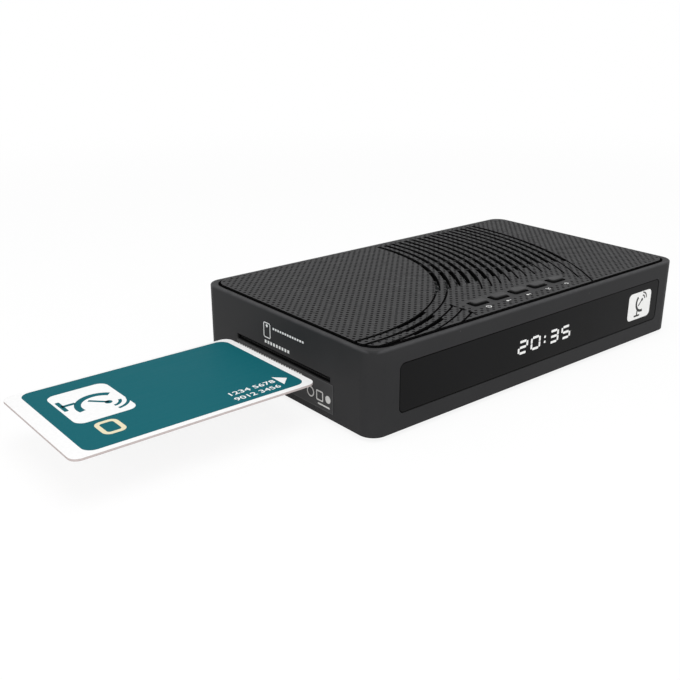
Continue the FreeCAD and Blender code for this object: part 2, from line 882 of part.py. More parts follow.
def make_top_cover():
    body = document.addObject("PartDesign::Body", "cover_body")
    outline = sketch_on(body, "cover_outline", "XY_Plane", ledge_top)
    rounded_rectangle(outline, *inset(panel_inset, dim.rim_corner_growth))
    pad(body, outline, panel_top - ledge_top)
    wells = sketch_on(body, "button_wells", "XY_Plane", panel_top)
    for x in button_xs:
        well = (span(x, button_well_length), span(button_y, button_well_width))
        rounded_rectangle(wells, *well, dim.button_well_corner)
    pocket(body, wells, panel_top - ledge_top)
    posts = sketch_on(body, "cover_posts", "XY_Plane", post_top)
    for x, y in post_places:
        circle(posts, x, y, dim.cover_post_radius)
    pad(body, posts, ledge_top - post_top)
    key_posts = sketch_on(body, "key_posts", "XY_Plane", key_board_top)
    for x, y in key_post_places:
        circle(key_posts, x, y, dim.key_post_radius)
    pad(body, key_posts, ledge_top - key_board_top)
    pilots = sketch_on(body, "post_pilots", "XY_Plane", post_top)
    for x, y in post_places:
        circle(pilots, x, y, dim.screw_radius + dim.thread_clearance)
    screw_top = case_bottom + dim.screw_head_recess + dim.screw_length
    pocket(body, pilots, screw_top + dim.thread_run_out - post_top, backwards=True)
    key_pilots = sketch_on(body, "key_pilots", "XY_Plane", key_board_top)
    for x, y in key_post_places:
        circle(key_pilots, x, y, dim.key_screw_radius + dim.thread_clearance)
    key_screw_depth = dim.key_screw_length - dim.key_board_thickness + dim.thread_run_out
    pocket(body, key_pilots, key_screw_depth, backwards=True)
    slotted = cut("slotted_cover", body, make_through_slots())
    keep(cut("top_cover", slotted, make_lines()), "top_cover")


# ---------------------------------------------------------------- base plate, feet, screws
def make_base_plate():
    body = new_body("base_plate")
    outline = sketch_on(body, "floor_outline", "XY_Plane", case_bottom)
    rounded_rectangle(outline, *inset(dim.wall + dim.floor_clearance))
    pad(body, outline, dim.floor_thickness)
    posts = sketch_on(body, "floor_posts", "XY_Plane", floor_top)
    for x, y in post_places:
        circle(posts, x, y, dim.post_radius)
    pad(body, posts, dim.post_height)
    standoffs = sketch_on(body, "standoffs", "XY_Plane", floor_top)
    for x, y in board_screw_places:
        circle(standoffs, x, y, dim.standoff_radius)
    pad(body, standoffs, dim.standoff_height)
    holes = sketch_on(body, "screw_holes", "XY_Plane", case_bottom)
    recesses = sketch_on(body, "screw_recesses", "XY_Plane", case_bottom)
    for x, y in post_places:
        circle(holes, x, y, dim.post_hole_radius)
        circle(recesses, x, y, dim.screw_head_radius + dim.screw_head_clearance)
    pocket(body, holes, post_top - case_bottom, backwards=True)
    pocket(body, recesses, dim.screw_head_recess, backwards=True)
    pilots = sketch_on(body, "standoff_pilots", "XY_Plane", board_bottom)
    for x, y in board_screw_places:
        circle(pilots, x, y, dim.board_screw_radius + dim.thread_clearance)
    pocket(body, pilots, dim.board_screw_length - dim.board_thickness + dim.thread_run_out)
    seats = sketch_on(body, "foot_seats", "XY_Plane", case_bottom)
    for x, y in foot_places:
        circle(seats, x, y, dim.foot_radius + dim.foot_clearance)
    pocket(body, seats, dim.foot_recess, backwards=True)
    vents = sketch_on(body, "floor_slots", "XY_Plane", floor_top)
    for i in range(FLOOR_SLOTS):
        x = span(dim.floor_slot_first_x + dim.floor_slot_pitch * i, dim.floor_slot_width)
        rectangle(vents, x, span(dim.floor_slot_y, dim.floor_slot_length))
    pocket(body, vents, dim.floor_thickness)


def make_feet():
    feet = []
    for i, (x, y) in enumerate(foot_places):
        toe = document.addObject("Part::Cone", f"foot_toe_{i}")
        bind(toe, Radius1=dim.foot_toe_radius, Radius2=dim.foot_radius, Height=dim.foot_height)
        place(toe, x, y, 0)
        seat = (case_bottom, case_bottom + dim.foot_recess)
        root = cylinder(f"foot_root_{i}", (x, y), seat, dim.foot_radius)
        feet.append(fuse(f"foot_{i}", toe, root))
    keep(group("rubber_feet", *feet), "rubber_feet")


def screw(name, x, y, seat, head_radius, head_height, radius, length, up):
    """A cross-head screw whose head bears on the seat level and whose shank points up or down."""
    way = 1 if up else -1

    def level(distance):
        return seat + distance * way

    def between(first, second):
        return (first, second) if up else (second, first)

    head = cylinder(f"{name}_head", (x, y), between(level(-head_height), seat), head_radius)
    shank = cylinder(f"{name}_shank", (x, y), between(seat, level(length)), radius)
    depth = between(level(-head_height), level(-head_height + dim.screw_cross_depth))
    arms = [
        box(f"{name}_arm_x", span(x, dim.screw_cross_length), span(y, dim.screw_cross_width), depth),
        box(f"{name}_arm_y", span(x, dim.screw_cross_width), span(y, dim.screw_cross_length), depth),
    ]
    return cut(f"{name}_screw", fuse(f"{name}_blank", head, shank), *arms)


def make_screws():
    case_seat = case_bottom + dim.screw_head_recess
    head = (dim.screw_head_radius, dim.screw_head_height)
    case_screws = [
        screw(f"case_{i}", x, y, case_seat, *head, dim.screw_radius, dim.screw_length, up=True)
        for i, (x, y) in enumerate(post_places)
    ]
    keep(group("case_screws", *case_screws), "case_screws")
    head = (dim.board_screw_head_radius, dim.board_screw_head_height)
    board_screws = [
        screw(f"board_{i}", x, y, board_top, *head, dim.board_screw_radius, dim.board_screw_length, up=False)
        for i, (x, y) in enumerate(board_screw_places)
    ]
    keep(group("board_screws", *board_screws), "board_screws")
    head = (dim.key_screw_head_radius, dim.key_screw_head_height)
    key_screws = [
        screw(f"key_{i}", x, y, key_board_bottom, *head, dim.key_screw_radius, dim.key_screw_length, up=True)
        for i, (x, y) in enumerate(key_post_places)
    ]
    keep(group("key_board_screws", *key_screws), "key_board_screws")


# ---------------------------------------------------------------- front window and side label
def make_front_window():
    body = new_body("front_window")
    gap = dim.window_gap
    pane = sketch_on(body, "window_pane", "XZ_Plane", -front_wall_inside)
    pane_x = (window_x[0] + gap, window_x[1] - gap)
    pane_z = (window_z[0] + gap, window_z[1] - gap)
    rounded_rectangle(pane, pane_x, pane_z, dim.window_corner_radius - gap)
    plate = pad(body, pane, dim.wall - dim.window_recess)
    round_edges(body, plate, FreeCAD.Vector(0, -1, 0), dim.window_rounding)
    lap = dim.window_flange
    flange = sketch_on(body, "window_flange", "XZ_Plane", -front_wall_inside)
    tab = dim.window_tab
    rectangle(flange, (window_x[0] - tab, window_x[1] + tab), (window_z[0] - lap, window_z[1] + lap))
    pad(body, flange, dim.window_flange_thickness, backwards=True)
    holes = sketch_on(body, "stake_holes", "XZ_Plane", -front_wall_inside)
    for x, z in stake_places:
        circle(holes, x, z, dim.stake_radius + dim.stake_clearance)
    pocket(body, holes, dim.window_flange_thickness)


def make_side_label():
    top = slot_z[0] - dim.label_slot_gap
    label = box(
        "side_label",
        (left_face - dim.label_thickness, left_face),
        (slot_y[0] - dim.label_front_lap, slot_y[1]),
        (top - dim.label_height, top),
    )
    keep(label, "side_label")


# ---------------------------------------------------------------- main board and its parts
def make_main_board():
    slab = box("board_slab", board_x, board_y, (board_bottom, board_top))
    through_board = (board_bottom - OVERSHOOT, board_top + OVERSHOOT)
    tools = []
    for i, (side_x, side_y) in enumerate(corners):
        x, y = post_places[i]
        notch_x = (left_face, x + post_reach) if side_x < 0 else (x - post_reach, right_face)
        notch_y = (front_face, y + post_reach) if side_y < 0 else (y - post_reach, back_face)
        tools.append(box(f"board_notch_{i}", notch_x, notch_y, through_board))
    for i, place_of_screw in enumerate(board_screw_places):
        radius = dim.board_screw_radius + dim.board_hole_clearance
        tools.append(cylinder(f"board_hole_{i}", place_of_screw, through_board, radius))
    keep(cut("main_board", slab, *tools), "main_board")


def chip(name, x, y, length_x, length_y, height, low=board_top):
    return box(name, span(x, length_x), span(y, length_y), (low, low + height))


def make_chips():
    x, y = chip_x, dim.chip_middle_y
    keep(chip("system_chip", x, y, dim.chip_side, dim.chip_side, dim.chip_height), "system_chip")
    chip_top = board_top + dim.chip_height
    keep(chip("thermal_pad", x, y, dim.pad_side, dim.pad_side, dim.pad_thickness, chip_top), "thermal_pad")
    sink_low = chip_top + dim.pad_thickness
    fin_low = sink_low + dim.heatsink_base
    plate = chip("sink_plate", x, y, dim.heatsink_side, dim.heatsink_side, dim.heatsink_base, sink_low)
    first = x - dim.heatsink_fin_pitch * ((HEATSINK_FINS - 1) / 2)
    fins = [
        box(
            f"sink_fin_{i}",
            span(first + dim.heatsink_fin_pitch * i, dim.heatsink_fin),
            span(y, dim.heatsink_side),
            (fin_low, sink_low + dim.heatsink_height),
        )
        for i in range(HEATSINK_FINS)
    ]
    keep(fuse("heatsink", plate, *fins), "heatsink")
    memory_ys = spread(header_y[1], tuner_y[0], [dim.memory_length] * MEMORY_CHIPS)
    memory = [
        box(f"memory_{i}", memory_x, memory_y, (board_top, board_top + dim.memory_height))
        for i, memory_y in enumerate(memory_ys)
    ]
    keep(group("memory_chips", *memory), "memory_chips")
    (flash_y,) = spread(header_y[1], y - dim.heatsink_side / 2, [dim.flash_length])
    flash_x = span(x + dim.flash_from_chip, dim.flash_width)
    flash = box("flash_chip", flash_x, flash_y, (board_top, board_top + dim.flash_height))
    keep(flash, "flash_chip")
    crystal_size = (dim.crystal_length, dim.crystal_width, dim.crystal_height)
    crystal = chip("clock_crystal", crystal_x, dim.crystal_y, *crystal_size)
    keep(crystal, "clock_crystal")


def make_power_stages():
    regulators = []
    coils = []
    capacitors = []
    for i, y in enumerate(supply_ys):
        height = (board_top, board_top + dim.regulator_height)
        regulators.append(box(f"regulator_{i}", regulator_x, span(y, dim.regulator_width), height))
        height = (board_top, board_top + dim.coil_height)
        coils.append(box(f"coil_{i}", coil_x, span(y, dim.coil_side), height))
        height = (board_top, board_top + dim.capacitor_height)
        spot = (middle_of(capacitor_x), y)
        capacitors.append(cylinder(f"capacitor_{i}", spot, height, dim.capacitor_radius))
    keep(group("voltage_regulators", *regulators), "voltage_regulators")
    keep(group("power_coils", *coils), "power_coils")
    keep(group("supply_capacitors", *capacitors), "supply_capacitors")


# ---------------------------------------------------------------- rear sockets
def make_power_socket():
    middle = (middle_of(power_x), middle_of(power_z))
    block = box("power_block", power_x, (socket_mouth - dim.power_socket_depth, socket_mouth), power_z)
    bore_back = socket_mouth - dim.power_bore_depth
    bore_y = (bore_back, socket_mouth + OVERSHOOT)
    bore = cylinder("power_bore", middle, bore_y, dim.power_bore_radius, "y")
    pin_y = (bore_back - OVERSHOOT, socket_mouth - dim.power_pin_short)
    pin = cylinder("power_pin", middle, pin_y, dim.power_pin_radius, "y")
    keep(fuse("power_socket", cut("power_housing", block, bore), pin), "power_socket")


def make_av_jack():
    middle = (middle_of(av_x), middle_of(av_z))
    block = box("av_block", av_x, (socket_mouth - dim.av_jack_depth, socket_mouth), av_z)
    bore_y = (socket_mouth - dim.av_bore_depth, socket_mouth + OVERSHOOT)
    bore = cylinder("av_bore", middle, bore_y, dim.av_bore_radius, "y")
    keep(cut("av_jack", block, bore), "av_jack")


def make_digital_audio_socket():
    middle = (middle_of(optical_x), middle_of(optical_z))
    mouth_side = dim.optical_side - dim.optical_wall * 2
    block = box("optical_block", optical_x, (socket_mouth - dim.optical_depth, socket_mouth), optical_z)
    mouth_back = socket_mouth - dim.optical_mouth_depth
    mouth = box(
        "optical_mouth",
        span(middle[0], mouth_side),
        (mouth_back, socket_mouth + OVERSHOOT),
        span(middle[1], mouth_side),
    )
    bore = cylinder(
        "optical_bore",
        middle,
        (mouth_back - dim.optical_bore_depth, mouth_back + OVERSHOOT),
        dim.optical_bore_radius,
        "y",
    )
    keep(cut("digital_audio_socket", block, mouth, bore), "digital_audio_socket")


def make_sheet_socket(label, x, z, depth, tongue_width):
    """A socket of bent sheet with a flat contact tongue inside its mouth."""
    sheet_thickness = dim.socket_sheet
    back = socket_mouth - depth
    block = box(f"{label}_block", x, (back, socket_mouth), z)
    mouth = box(
        f"{label}_mouth",
        (x[0] + sheet_thickness, x[1] - sheet_thickness),
        (back + dim.sheet_socket_back, socket_mouth + OVERSHOOT),
        (z[0] + sheet_thickness, z[1] - sheet_thickness),
    )
    tongue = box(
        f"{label}_tongue",
        span(middle_of(x), tongue_width),
        (back + dim.sheet_socket_back / 2, socket_mouth - dim.tongue_short),
        span(middle_of(z), dim.tongue_thickness),
    )
    keep(fuse(label, cut(f"{label}_sleeve", block, mouth), tongue), label)


def make_lan_socket():
    block = box("lan_block", lan_x, (socket_mouth - dim.lan_depth, socket_mouth), lan_z)
    mouth_y = (socket_mouth - dim.lan_mouth_depth, socket_mouth + OVERSHOOT)
    mouth_low = lan_z[0] + dim.lan_mouth_up
    mouth_z = (mouth_low, mouth_low + dim.lan_mouth_height)
    mouth = box("lan_mouth", span(middle_of(lan_x), dim.lan_mouth_width), mouth_y, mouth_z)
    latch_z = (mouth_low - dim.lan_latch_height, mouth_low)
    latch = box("lan_latch", span(middle_of(lan_x), dim.lan_latch_width), mouth_y, latch_z)
    keep(cut("lan_socket", block, mouth, latch), "lan_socket")


# ---------------------------------------------------------------- tuner and its two sockets
def make_tuner():
    keep(box("tuner_can", tuner_x, tuner_y, (board_top, tuner_top)), "tuner_can")
    lap = dim.tuner_lid_overhang
    lid = box(
        "tuner_lid",
        (tuner_x[0] - lap, tuner_x[1] + lap),
        (tuner_y[0] - lap, tuner_y[1] + lap),
        (tuner_top, tuner_top + dim.tuner_lid),
    )
    keep(lid, "tuner_lid")
    insulators = []
    mouth = back_face + dim.lnb_reach
    bore_back = mouth - dim.lnb_bore_depth
    for label, x in (("lnb_input_socket", lnb_input_x), ("lnb_output_socket", lnb_output_x)):
        middle = (x, lnb_z)
        barrel = cylinder(f"{label}_barrel", middle, (tuner_back, mouth), dim.lnb_radius, "y")
        collar_y = (tuner_back, socket_mouth)
        collar = cylinder(f"{label}_collar", middle, collar_y, dim.lnb_collar_radius, "y")
        bore = cylinder(f"{label}_bore", middle, (bore_back, mouth + OVERSHOOT), dim.lnb_bore_radius, "y")
        keep(cut(label, fuse(f"{label}_blank", barrel, collar), bore), label)
        plug_radius = dim.lnb_bore_radius - dim.lnb_insulator_clearance
        plug = cylinder(f"{label}_insulator", middle, (bore_back, mouth), plug_radius, "y")
        pin_y = (mouth - dim.lnb_pin_hole_depth, mouth + OVERSHOOT)
        pin_hole = cylinder(f"{label}_pin_hole", middle, pin_y, dim.lnb_pin_hole_radius, "y")
        insulators.append(cut(f"{label}_drilled", plug, pin_hole))
    keep(group("socket_insulators", *insulators), "socket_insulators")


# ---------------------------------------------------------------- display behind the window
def make_display():
    board = box("display_board", display_x, (display_front, display_back), display_z)
    keep(board, "display_board")
    digits = box(
        "digit_display",
        span(middle_of(window_x), dim.digits_width),
        (display_front - dim.digits_depth, display_front),
        (display_z[0] + dim.digits_margin, display_z[1] - dim.digits_margin),
    )
    keep(digits, "digit_display")
    middle_z = middle_of(display_z)
    eye_x = display_x[0] + dim.receiver_eye_from_end
    eye_front = display_front - dim.receiver_eye_depth
    eye_z = span(middle_z, dim.receiver_eye_height)
    eye = fuse(
        "receiver_eye",
        box("eye_block", span(eye_x, dim.receiver_eye_width), (eye_front, display_front), eye_z),
        cylinder(
            "eye_lens",
            (eye_x, middle_z),
            (eye_front - dim.receiver_lens_radius, display_front),
            dim.receiver_lens_radius,
            "y",
        ),
    )
    keep(eye, "infrared_receiver")
    lamp = cylinder(
        "standby_lamp",
        (display_x[1] - dim.lamp_from_end, middle_z),
        (display_front - dim.lamp_reach, display_front),
        dim.lamp_radius,
        "y",
    )
    keep(lamp, "standby_lamp")
    header = box(
        "display_header",
        span(display_x[1] - dim.header_from_end, dim.header_length),
        header_y,
        (board_top, board_top + dim.header_height),
    )
    keep(header, "display_header")


# ---------------------------------------------------------------- key board, switches and ribbon
def make_key_board():
    x = (button_xs[0] - dim.key_board_end, button_xs[-1] + dim.key_board_end)
    y = (button_y - dim.key_board_front, button_y + dim.key_board_back)
    slab = box("key_board_slab", x, y, (key_board_bottom, key_board_top))
    holes = [
        cylinder(
            f"key_board_hole_{i}",
            spot,
            (key_board_bottom - OVERSHOOT, key_board_top + OVERSHOOT),
            dim.key_screw_radius + dim.board_hole_clearance,
        )
        for i, spot in enumerate(key_post_places)
    ]
    keep(cut("key_board", slab, *holes), "key_board")
    switches = []
    for name, button_x in zip(BUTTONS, button_xs):
        case = box(
            f"{name}_switch_case",
            span(button_x, dim.key_switch_side),
            span(button_y, dim.key_switch_side),
            (key_board_top, key_switch_top),
        )
        well_floor = key_switch_top - dim.plunger_depth - dim.button_travel - dim.plunger_clearance
        well = cylinder(
            f"{name}_switch_well",
            (button_x, button_y),
            (well_floor, key_switch_top + OVERSHOOT),
            dim.plunger_radius + dim.plunger_clearance,
        )
        switches.append(cut(f"{name}_switch", case, well))
    keep(group("key_switches", *switches), "key_switches")


def make_ribbon():
    y = button_y + dim.ribbon_back
    low_top = board_top + dim.ribbon_socket_height
    high_bottom = key_board_bottom - dim.ribbon_socket_height
    x = span(crystal_x, dim.ribbon_socket_length)
    depth = span(y, dim.ribbon_socket_depth)
    sockets = group(
        "ribbon_sockets",
        box("ribbon_socket_low", x, depth, (board_top, low_top)),
        box("ribbon_socket_high", x, depth, (high_bottom, key_board_bottom)),
    )
    keep(sockets, "ribbon_sockets")
    ribbon = box(
        "key_ribbon_cable",
        span(crystal_x, dim.ribbon_width),
        span(y, dim.ribbon_thickness),
        (low_top, high_bottom),
    )
    keep(ribbon, "key_ribbon_cable")


def make_buttons():
    up = FreeCAD.Vector(0, 0, 1)
    for name, x in zip(BUTTONS, button_xs):
        body = new_body(f"{name}_button")
        cap = sketch_on(body, f"{name}_cap", "XY_Plane", flange_bottom)
        rounded_rectangle(
            cap, span(x, dim.button_length), span(button_y, dim.button_width), dim.button_corner_radius
        )
        crown = pad(body, cap, panel_top + dim.button_rise - flange_bottom)
        round_edges(body, crown, up, dim.button_crown)
        flange = sketch_on(body, f"{name}_flange", "XY_Plane", flange_bottom)
        lap = dim.button_flange_lap * 2
        rectangle(flange, span(x, button_well_length + lap), span(button_y, button_well_width + lap))
        pad(body, flange, dim.button_flange_thickness)
        stem = sketch_on(body, f"{name}_stem", "XY_Plane", flange_bottom)
        rectangle(stem, span(x, dim.button_stem_width), span(button_y, dim.button_stem_width))
        pad(body, stem, dim.button_stem_length, backwards=True)
        plunger_z = (key_switch_top - dim.plunger_depth, plunger_top)
        plunger = cylinder(f"{name}_plunger", (x, button_y), plunger_z, dim.plunger_radius)
        keep(plunger, f"{name}_plunger")


# ---------------------------------------------------------------- card and card reader
card_inner_edge = left_face - dim.card_stand_off
card_x = (card_inner_edge - dim.card_length, card_inner_edge)
card_y = span(dim.card_middle_y, dim.card_width)
channel_y = span(dim.card_middle_y, dim.card_width + dim.reader_guide_clearance * 2)
reader_y = (channel_y[0] - dim.reader_side, channel_y[1] + dim.reader_side)
channel_bottom = card_bottom - dim.reader_card_clearance
channel_top = card_bottom + dim.card_thickness + dim.reader_card_clearance
chip_y = dim.card_middle_y + dim.chip_from_middle


def make_card():
    body = new_body("smart_card")
    outline = sketch_on(body, "card_outline", "XY_Plane", card_bottom)
    rounded_rectangle(outline, card_x, card_y, dim.card_corner_radius)
    pad(body, outline, dim.card_thickness)
    seat = sketch_on(body, "chip_seat", "XY_Plane", card_bottom)
    chip_x = span(card_inner_edge - dim.chip_from_edge, dim.chip_length)
    rectangle(seat, chip_x, span(chip_y, dim.chip_width))
    pocket(body, seat, dim.chip_thickness, backwards=True)
    plate_z = (card_bottom, card_bottom + dim.chip_thickness)
    plate = box("card_chip", chip_x, span(chip_y, dim.chip_width), plate_z)
    keep(plate, "card_chip")


def make_card_reader():
    shell = dim.reader_shell
    block = box("reader_block", (reader_left, reader_right), reader_y, (board_top, channel_top))
    channel_z = (channel_bottom, channel_top + OVERSHOOT)
    channel = box("reader_channel", (reader_left - OVERSHOOT, reader_stop), channel_y, channel_z)
    hollow = box(
        "reader_hollow",
        (reader_left + shell, reader_right - shell),
        (reader_y[0] + shell, reader_y[1] - shell),
        (board_top - OVERSHOOT, channel_bottom - dim.reader_floor),
    )
    end_switch_y = card_y[1] - dim.end_switch_from_card_side
    lever_y = span(end_switch_y, dim.end_switch_lever)
    lever_z = span(card_middle, dim.end_switch_lever_height)
    gap = dim.end_switch_lever_clearance
    lever_hole = box(
        "lever_hole",
        (reader_stop - OVERSHOOT, reader_right + OVERSHOOT),
        (lever_y[0] - gap, lever_y[1] + gap),
        (lever_z[0] - gap, lever_z[1] + gap),
    )
    keep(cut("card_reader_base", block, channel, hollow, lever_hole), "card_reader_base")
    sheet_top = box(
        "reader_sheet",
        (reader_left, reader_right),
        reader_y,
        (channel_top, channel_top + dim.reader_cover_thickness),
    )
    window = box(
        "reader_sheet_window",
        span((reader_left + reader_right) / 2, dim.reader_cover_window),
        span(dim.card_middle_y, dim.reader_cover_window),
        (channel_top - OVERSHOOT, channel_top + dim.reader_cover_thickness + OVERSHOOT),
    )
    keep(cut("card_reader_cover", sheet_top, window), "card_reader_cover")
    switch_y = span(end_switch_y, dim.end_switch_width)
    switch = fuse(
        "end_switch",
        box(
            "end_switch_case",
            end_switch_x,
            switch_y,
            (board_top, board_top + dim.end_switch_height),
        ),
        box("end_switch_lever", (reader_stop, reader_right + OVERSHOOT), lever_y, lever_z),
    )
    keep(switch, "card_end_switch")
    chip_middle_x = card_inserted_edge - dim.chip_from_edge
    bump_radius = card_bottom - dim.contact_card_gap - channel_bottom
    contacts = []
    for column in (-1, 1):
        tip = chip_middle_x + dim.contact_column_gap / 2 * column
        tail = tip + dim.contact_length * column
        leaf_x = (tail, tip) if column < 0 else (tip, tail)
        for i in range(CONTACT_ROWS):
            y = chip_y + dim.contact_pitch * (i - (CONTACT_ROWS - 1) / 2)
            leaf_y = span(y, dim.contact_width)
            leaf_z = (channel_bottom, channel_bottom + dim.contact_sheet)
            leaf = box(f"contact_leaf_{column}_{i}", leaf_x, leaf_y, leaf_z)
            bump = cylinder(f"contact_bump_{column}_{i}", (tip, channel_bottom), leaf_y, bump_radius, "y")
            above_x = span(tip, bump_radius * 3)
            above = box(f"contact_above_{column}_{i}", above_x, leaf_y, (channel_bottom, card_bottom))
            half = common(f"contact_half_{column}_{i}", bump, above)
            contacts.append(fuse(f"contact_{column}_{i}", leaf, half))
    keep(group("card_reader_contacts", *contacts), "card_reader_contacts")


# ---------------------------------------------------------------- build, check and write
make_case_shell()
make_front_window()
make_buttons()
make_top_cover()
make_base_plate()
make_feet()
make_screws()
make_side_label()
make_main_board()
make_chips()
make_power_stages()
make_power_socket()
make_av_jack()
make_digital_audio_socket()
make_sheet_socket("hdmi_socket", hdmi_x, hdmi_z, dim.hdmi_depth, dim.hdmi_tongue_width)
make_sheet_socket("usb_socket", usb_x, usb_z, dim.usb_depth, dim.usb_tongue_width)
make_lan_socket()
make_tuner()
make_display()
make_key_board()
make_ribbon()
make_card()
make_card_reader()
document.recompute()

for item in document.Objects:
    if "Invalid" in item.State or "Error" in item.State:
        raise RuntimeError(f"{item.Label} failed: {item.State}")
    if item.TypeId == "PartDesign::Pocket" and item.Shape.Volume >= item.BaseFeature.Shape.Volume - 1e-6:
        raise RuntimeError(f"{item.Label} cut nothing")
    if item.TypeId == "PartDesign::Pad" and item.BaseFeature is not None:
        if item.Shape.Volume <= item.BaseFeature.Shape.Volume + 1e-6:
            raise RuntimeError(f"{item.Label} added nothing")
for label, piece in nodes.items():
    if piece.Shape.isNull() or not piece.Shape.isValid() or not piece.Shape.Solids:
        raise RuntimeError(f"{label} has no valid solid")

os.makedirs("parts", exist_ok=True)
for label, piece in nodes.items():
    piece.Shape.exportStep(f"parts/{label}.step")
    print(f"{label}: {len(piece.Shape.Solids)} solid(s), {piece.Shape.Volume:.1f} mm3")
print(f"{len(nodes)} nodes")
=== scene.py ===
import bpy
import json
import math
from mathutils import Matrix, Vector


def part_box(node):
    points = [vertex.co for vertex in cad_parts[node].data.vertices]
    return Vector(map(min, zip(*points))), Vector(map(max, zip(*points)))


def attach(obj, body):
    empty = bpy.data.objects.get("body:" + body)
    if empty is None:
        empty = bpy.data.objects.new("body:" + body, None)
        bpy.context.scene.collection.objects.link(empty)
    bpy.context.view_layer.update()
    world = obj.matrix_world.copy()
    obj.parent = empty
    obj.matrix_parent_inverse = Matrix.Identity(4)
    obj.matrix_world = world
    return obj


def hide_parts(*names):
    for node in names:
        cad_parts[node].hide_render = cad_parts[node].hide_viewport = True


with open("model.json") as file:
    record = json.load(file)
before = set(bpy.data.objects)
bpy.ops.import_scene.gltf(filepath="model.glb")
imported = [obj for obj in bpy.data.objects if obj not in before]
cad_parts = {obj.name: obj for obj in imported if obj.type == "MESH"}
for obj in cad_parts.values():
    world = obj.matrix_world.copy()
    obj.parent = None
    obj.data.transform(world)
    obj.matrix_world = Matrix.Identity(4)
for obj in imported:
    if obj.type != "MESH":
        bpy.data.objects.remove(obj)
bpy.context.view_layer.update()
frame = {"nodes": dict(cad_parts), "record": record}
nodes = frame["nodes"]
mm = 0.001
print("frame loaded:", len(nodes), "nodes")


def endOf(node, axis, side):
    # where a CAD node ends along an axis (0 to 2), at its low or high side (0 or 1), in millimetres
    return round(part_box(node)[side][axis] / mm, 3)


def cornersOf(node):
    return [[endOf(node, axis, side) for axis in range(3)] for side in range(2)]


def middleOf(node, axis):
    return (endOf(node, axis, 0) + endOf(node, axis, 1)) / 2


caseLow, caseHigh = cornersOf("case_shell")
coverHigh = cornersOf("top_cover")[1]
windowLow, windowHigh = cornersOf("front_window")
labelLow, labelHigh = cornersOf("side_label")
cardLow, cardHigh = cornersOf("smart_card")
leftWall, frontWall, caseTop = caseLow[0], caseLow[1], caseHigh[2]
windowFront, panelTop, cardTop = windowLow[1], coverHigh[2], cardHigh[2]
keyTop = endOf("power_button", 2, 1)
rearFace = endOf("lan_socket", 1, 1)
antennaMouth = endOf("lnb_input_socket", 1, 1)
rimWidth = 1.45


# small helpers for objects
def deselectAll():
    bpy.ops.object.select_all(action="DESELECT")


def startEdit():
    bpy.ops.object.mode_set(mode="EDIT")


def endEdit():
    bpy.ops.object.mode_set(mode="OBJECT")


def selectWhere(kind, test):
    # picks vertices, edges or faces by where they are; leaves the object in edit mode
    mesh = bpy.context.object.data
    bpy.ops.mesh.select_mode(type=kind)
    bpy.ops.mesh.select_all(action="DESELECT")
    endEdit()
    if kind == "VERT":
        for vertex in mesh.vertices:
            vertex.select = test(vertex.co)
    elif kind == "EDGE":
        for edge in mesh.edges:
            edge.select = test(*[mesh.vertices[i].co for i in edge.vertices])
    else:
        for face in mesh.polygons:
            face.select = test(face.center, face.normal)
    startEdit()


def inMetres(values):
    return [value * mm for value in values]


def mergeDoubles():
    bpy.ops.mesh.select_all(action="SELECT")
    bpy.ops.mesh.remove_doubles(threshold=0.000001)


def extrudeBy(offset):
    bpy.ops.mesh.extrude_region_move(TRANSFORM_OT_translate={"value": offset})


def repeatAlong(piece, count, offset):
    row = piece.modifiers.new("row", "ARRAY")
    row.count = count
    row.use_relative_offset = False
    row.use_constant_offset = True
    row.constant_offset_displace = offset
    bpy.ops.object.modifier_apply(modifier=row.name)


def applyPlace(piece):
    deselectAll()
    piece.select_set(True)
    bpy.context.view_layer.objects.active = piece
    bpy.ops.object.transform_apply(location=True, rotation=True, scale=True)


def joinPieces(pieces, name):
    deselectAll()
    for piece in pieces:
        piece.select_set(True)
    bpy.context.view_layer.objects.active = pieces[0]
    if len(pieces) > 1:
        bpy.ops.object.join()
    pieces[0].name = name
    pieces[0].data.name = name
    return pieces[0]


def copyPiece(piece, offset):
    twin = piece.copy()
    twin.data = piece.data.copy()
    twin.data.transform(Matrix.Translation(Vector(offset)))
    bpy.context.scene.collection.objects.link(twin)
    return twin


def finishPiece(piece, name, body, slot, finish, smooth=None):
    piece.name = name
    piece.data.name = name
    applyPlace(piece)
    startEdit()
    mergeDoubles()
    bpy.ops.mesh.normals_make_consistent(inside=False)
    endEdit()
    if smooth is not None:
        bpy.ops.object.shade_smooth_by_angle(angle=math.radians(smooth))
    piece.data.materials.clear()
    piece.data.materials.append(finish)
    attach(piece, body)
    return piece


# small helpers for materials
def setInputs(tree, node, values):
    # an output of another node is linked, and a plain value is set
    for key, value in values.items():
        if isinstance(value, bpy.types.NodeSocket):
            tree.links.new(value, node.inputs[key])
        else:
            node.inputs[key].default_value = value


def addNode(tree, kind, inputs=None, **settings):
    node = tree.nodes.new(kind)
    for name, value in settings.items():
        setattr(node, name, value)
    setInputs(tree, node, inputs or {})
    return node


def addNoise(tree, place, scale, detail):
    inputs = {"Vector": place, "Scale": scale, "Detail": detail}
    return addNode(tree, "ShaderNodeTexNoise", inputs).outputs[0]


def addBump(tree, shader, height, strength, distance):
    inputs = {"Height": height, "Strength": strength, "Distance": distance}
    bump = addNode(tree, "ShaderNodeBump", inputs)
    tree.links.new(bump.outputs[0], shader.inputs["Normal"])


def vectorWork(tree, operation, first, second):
    return addNode(tree, "ShaderNodeVectorMath", {0: first, 1: second}, operation=operation).outputs[0]


def splitPlace(tree, place):
    return addNode(tree, "ShaderNodeSeparateXYZ", {0: place}).outputs


def work(tree, operation, *values, clamp=False):
    node = addNode(tree, "ShaderNodeMath", dict(enumerate(values)), operation=operation, use_clamp=clamp)
    return node.outputs[0]


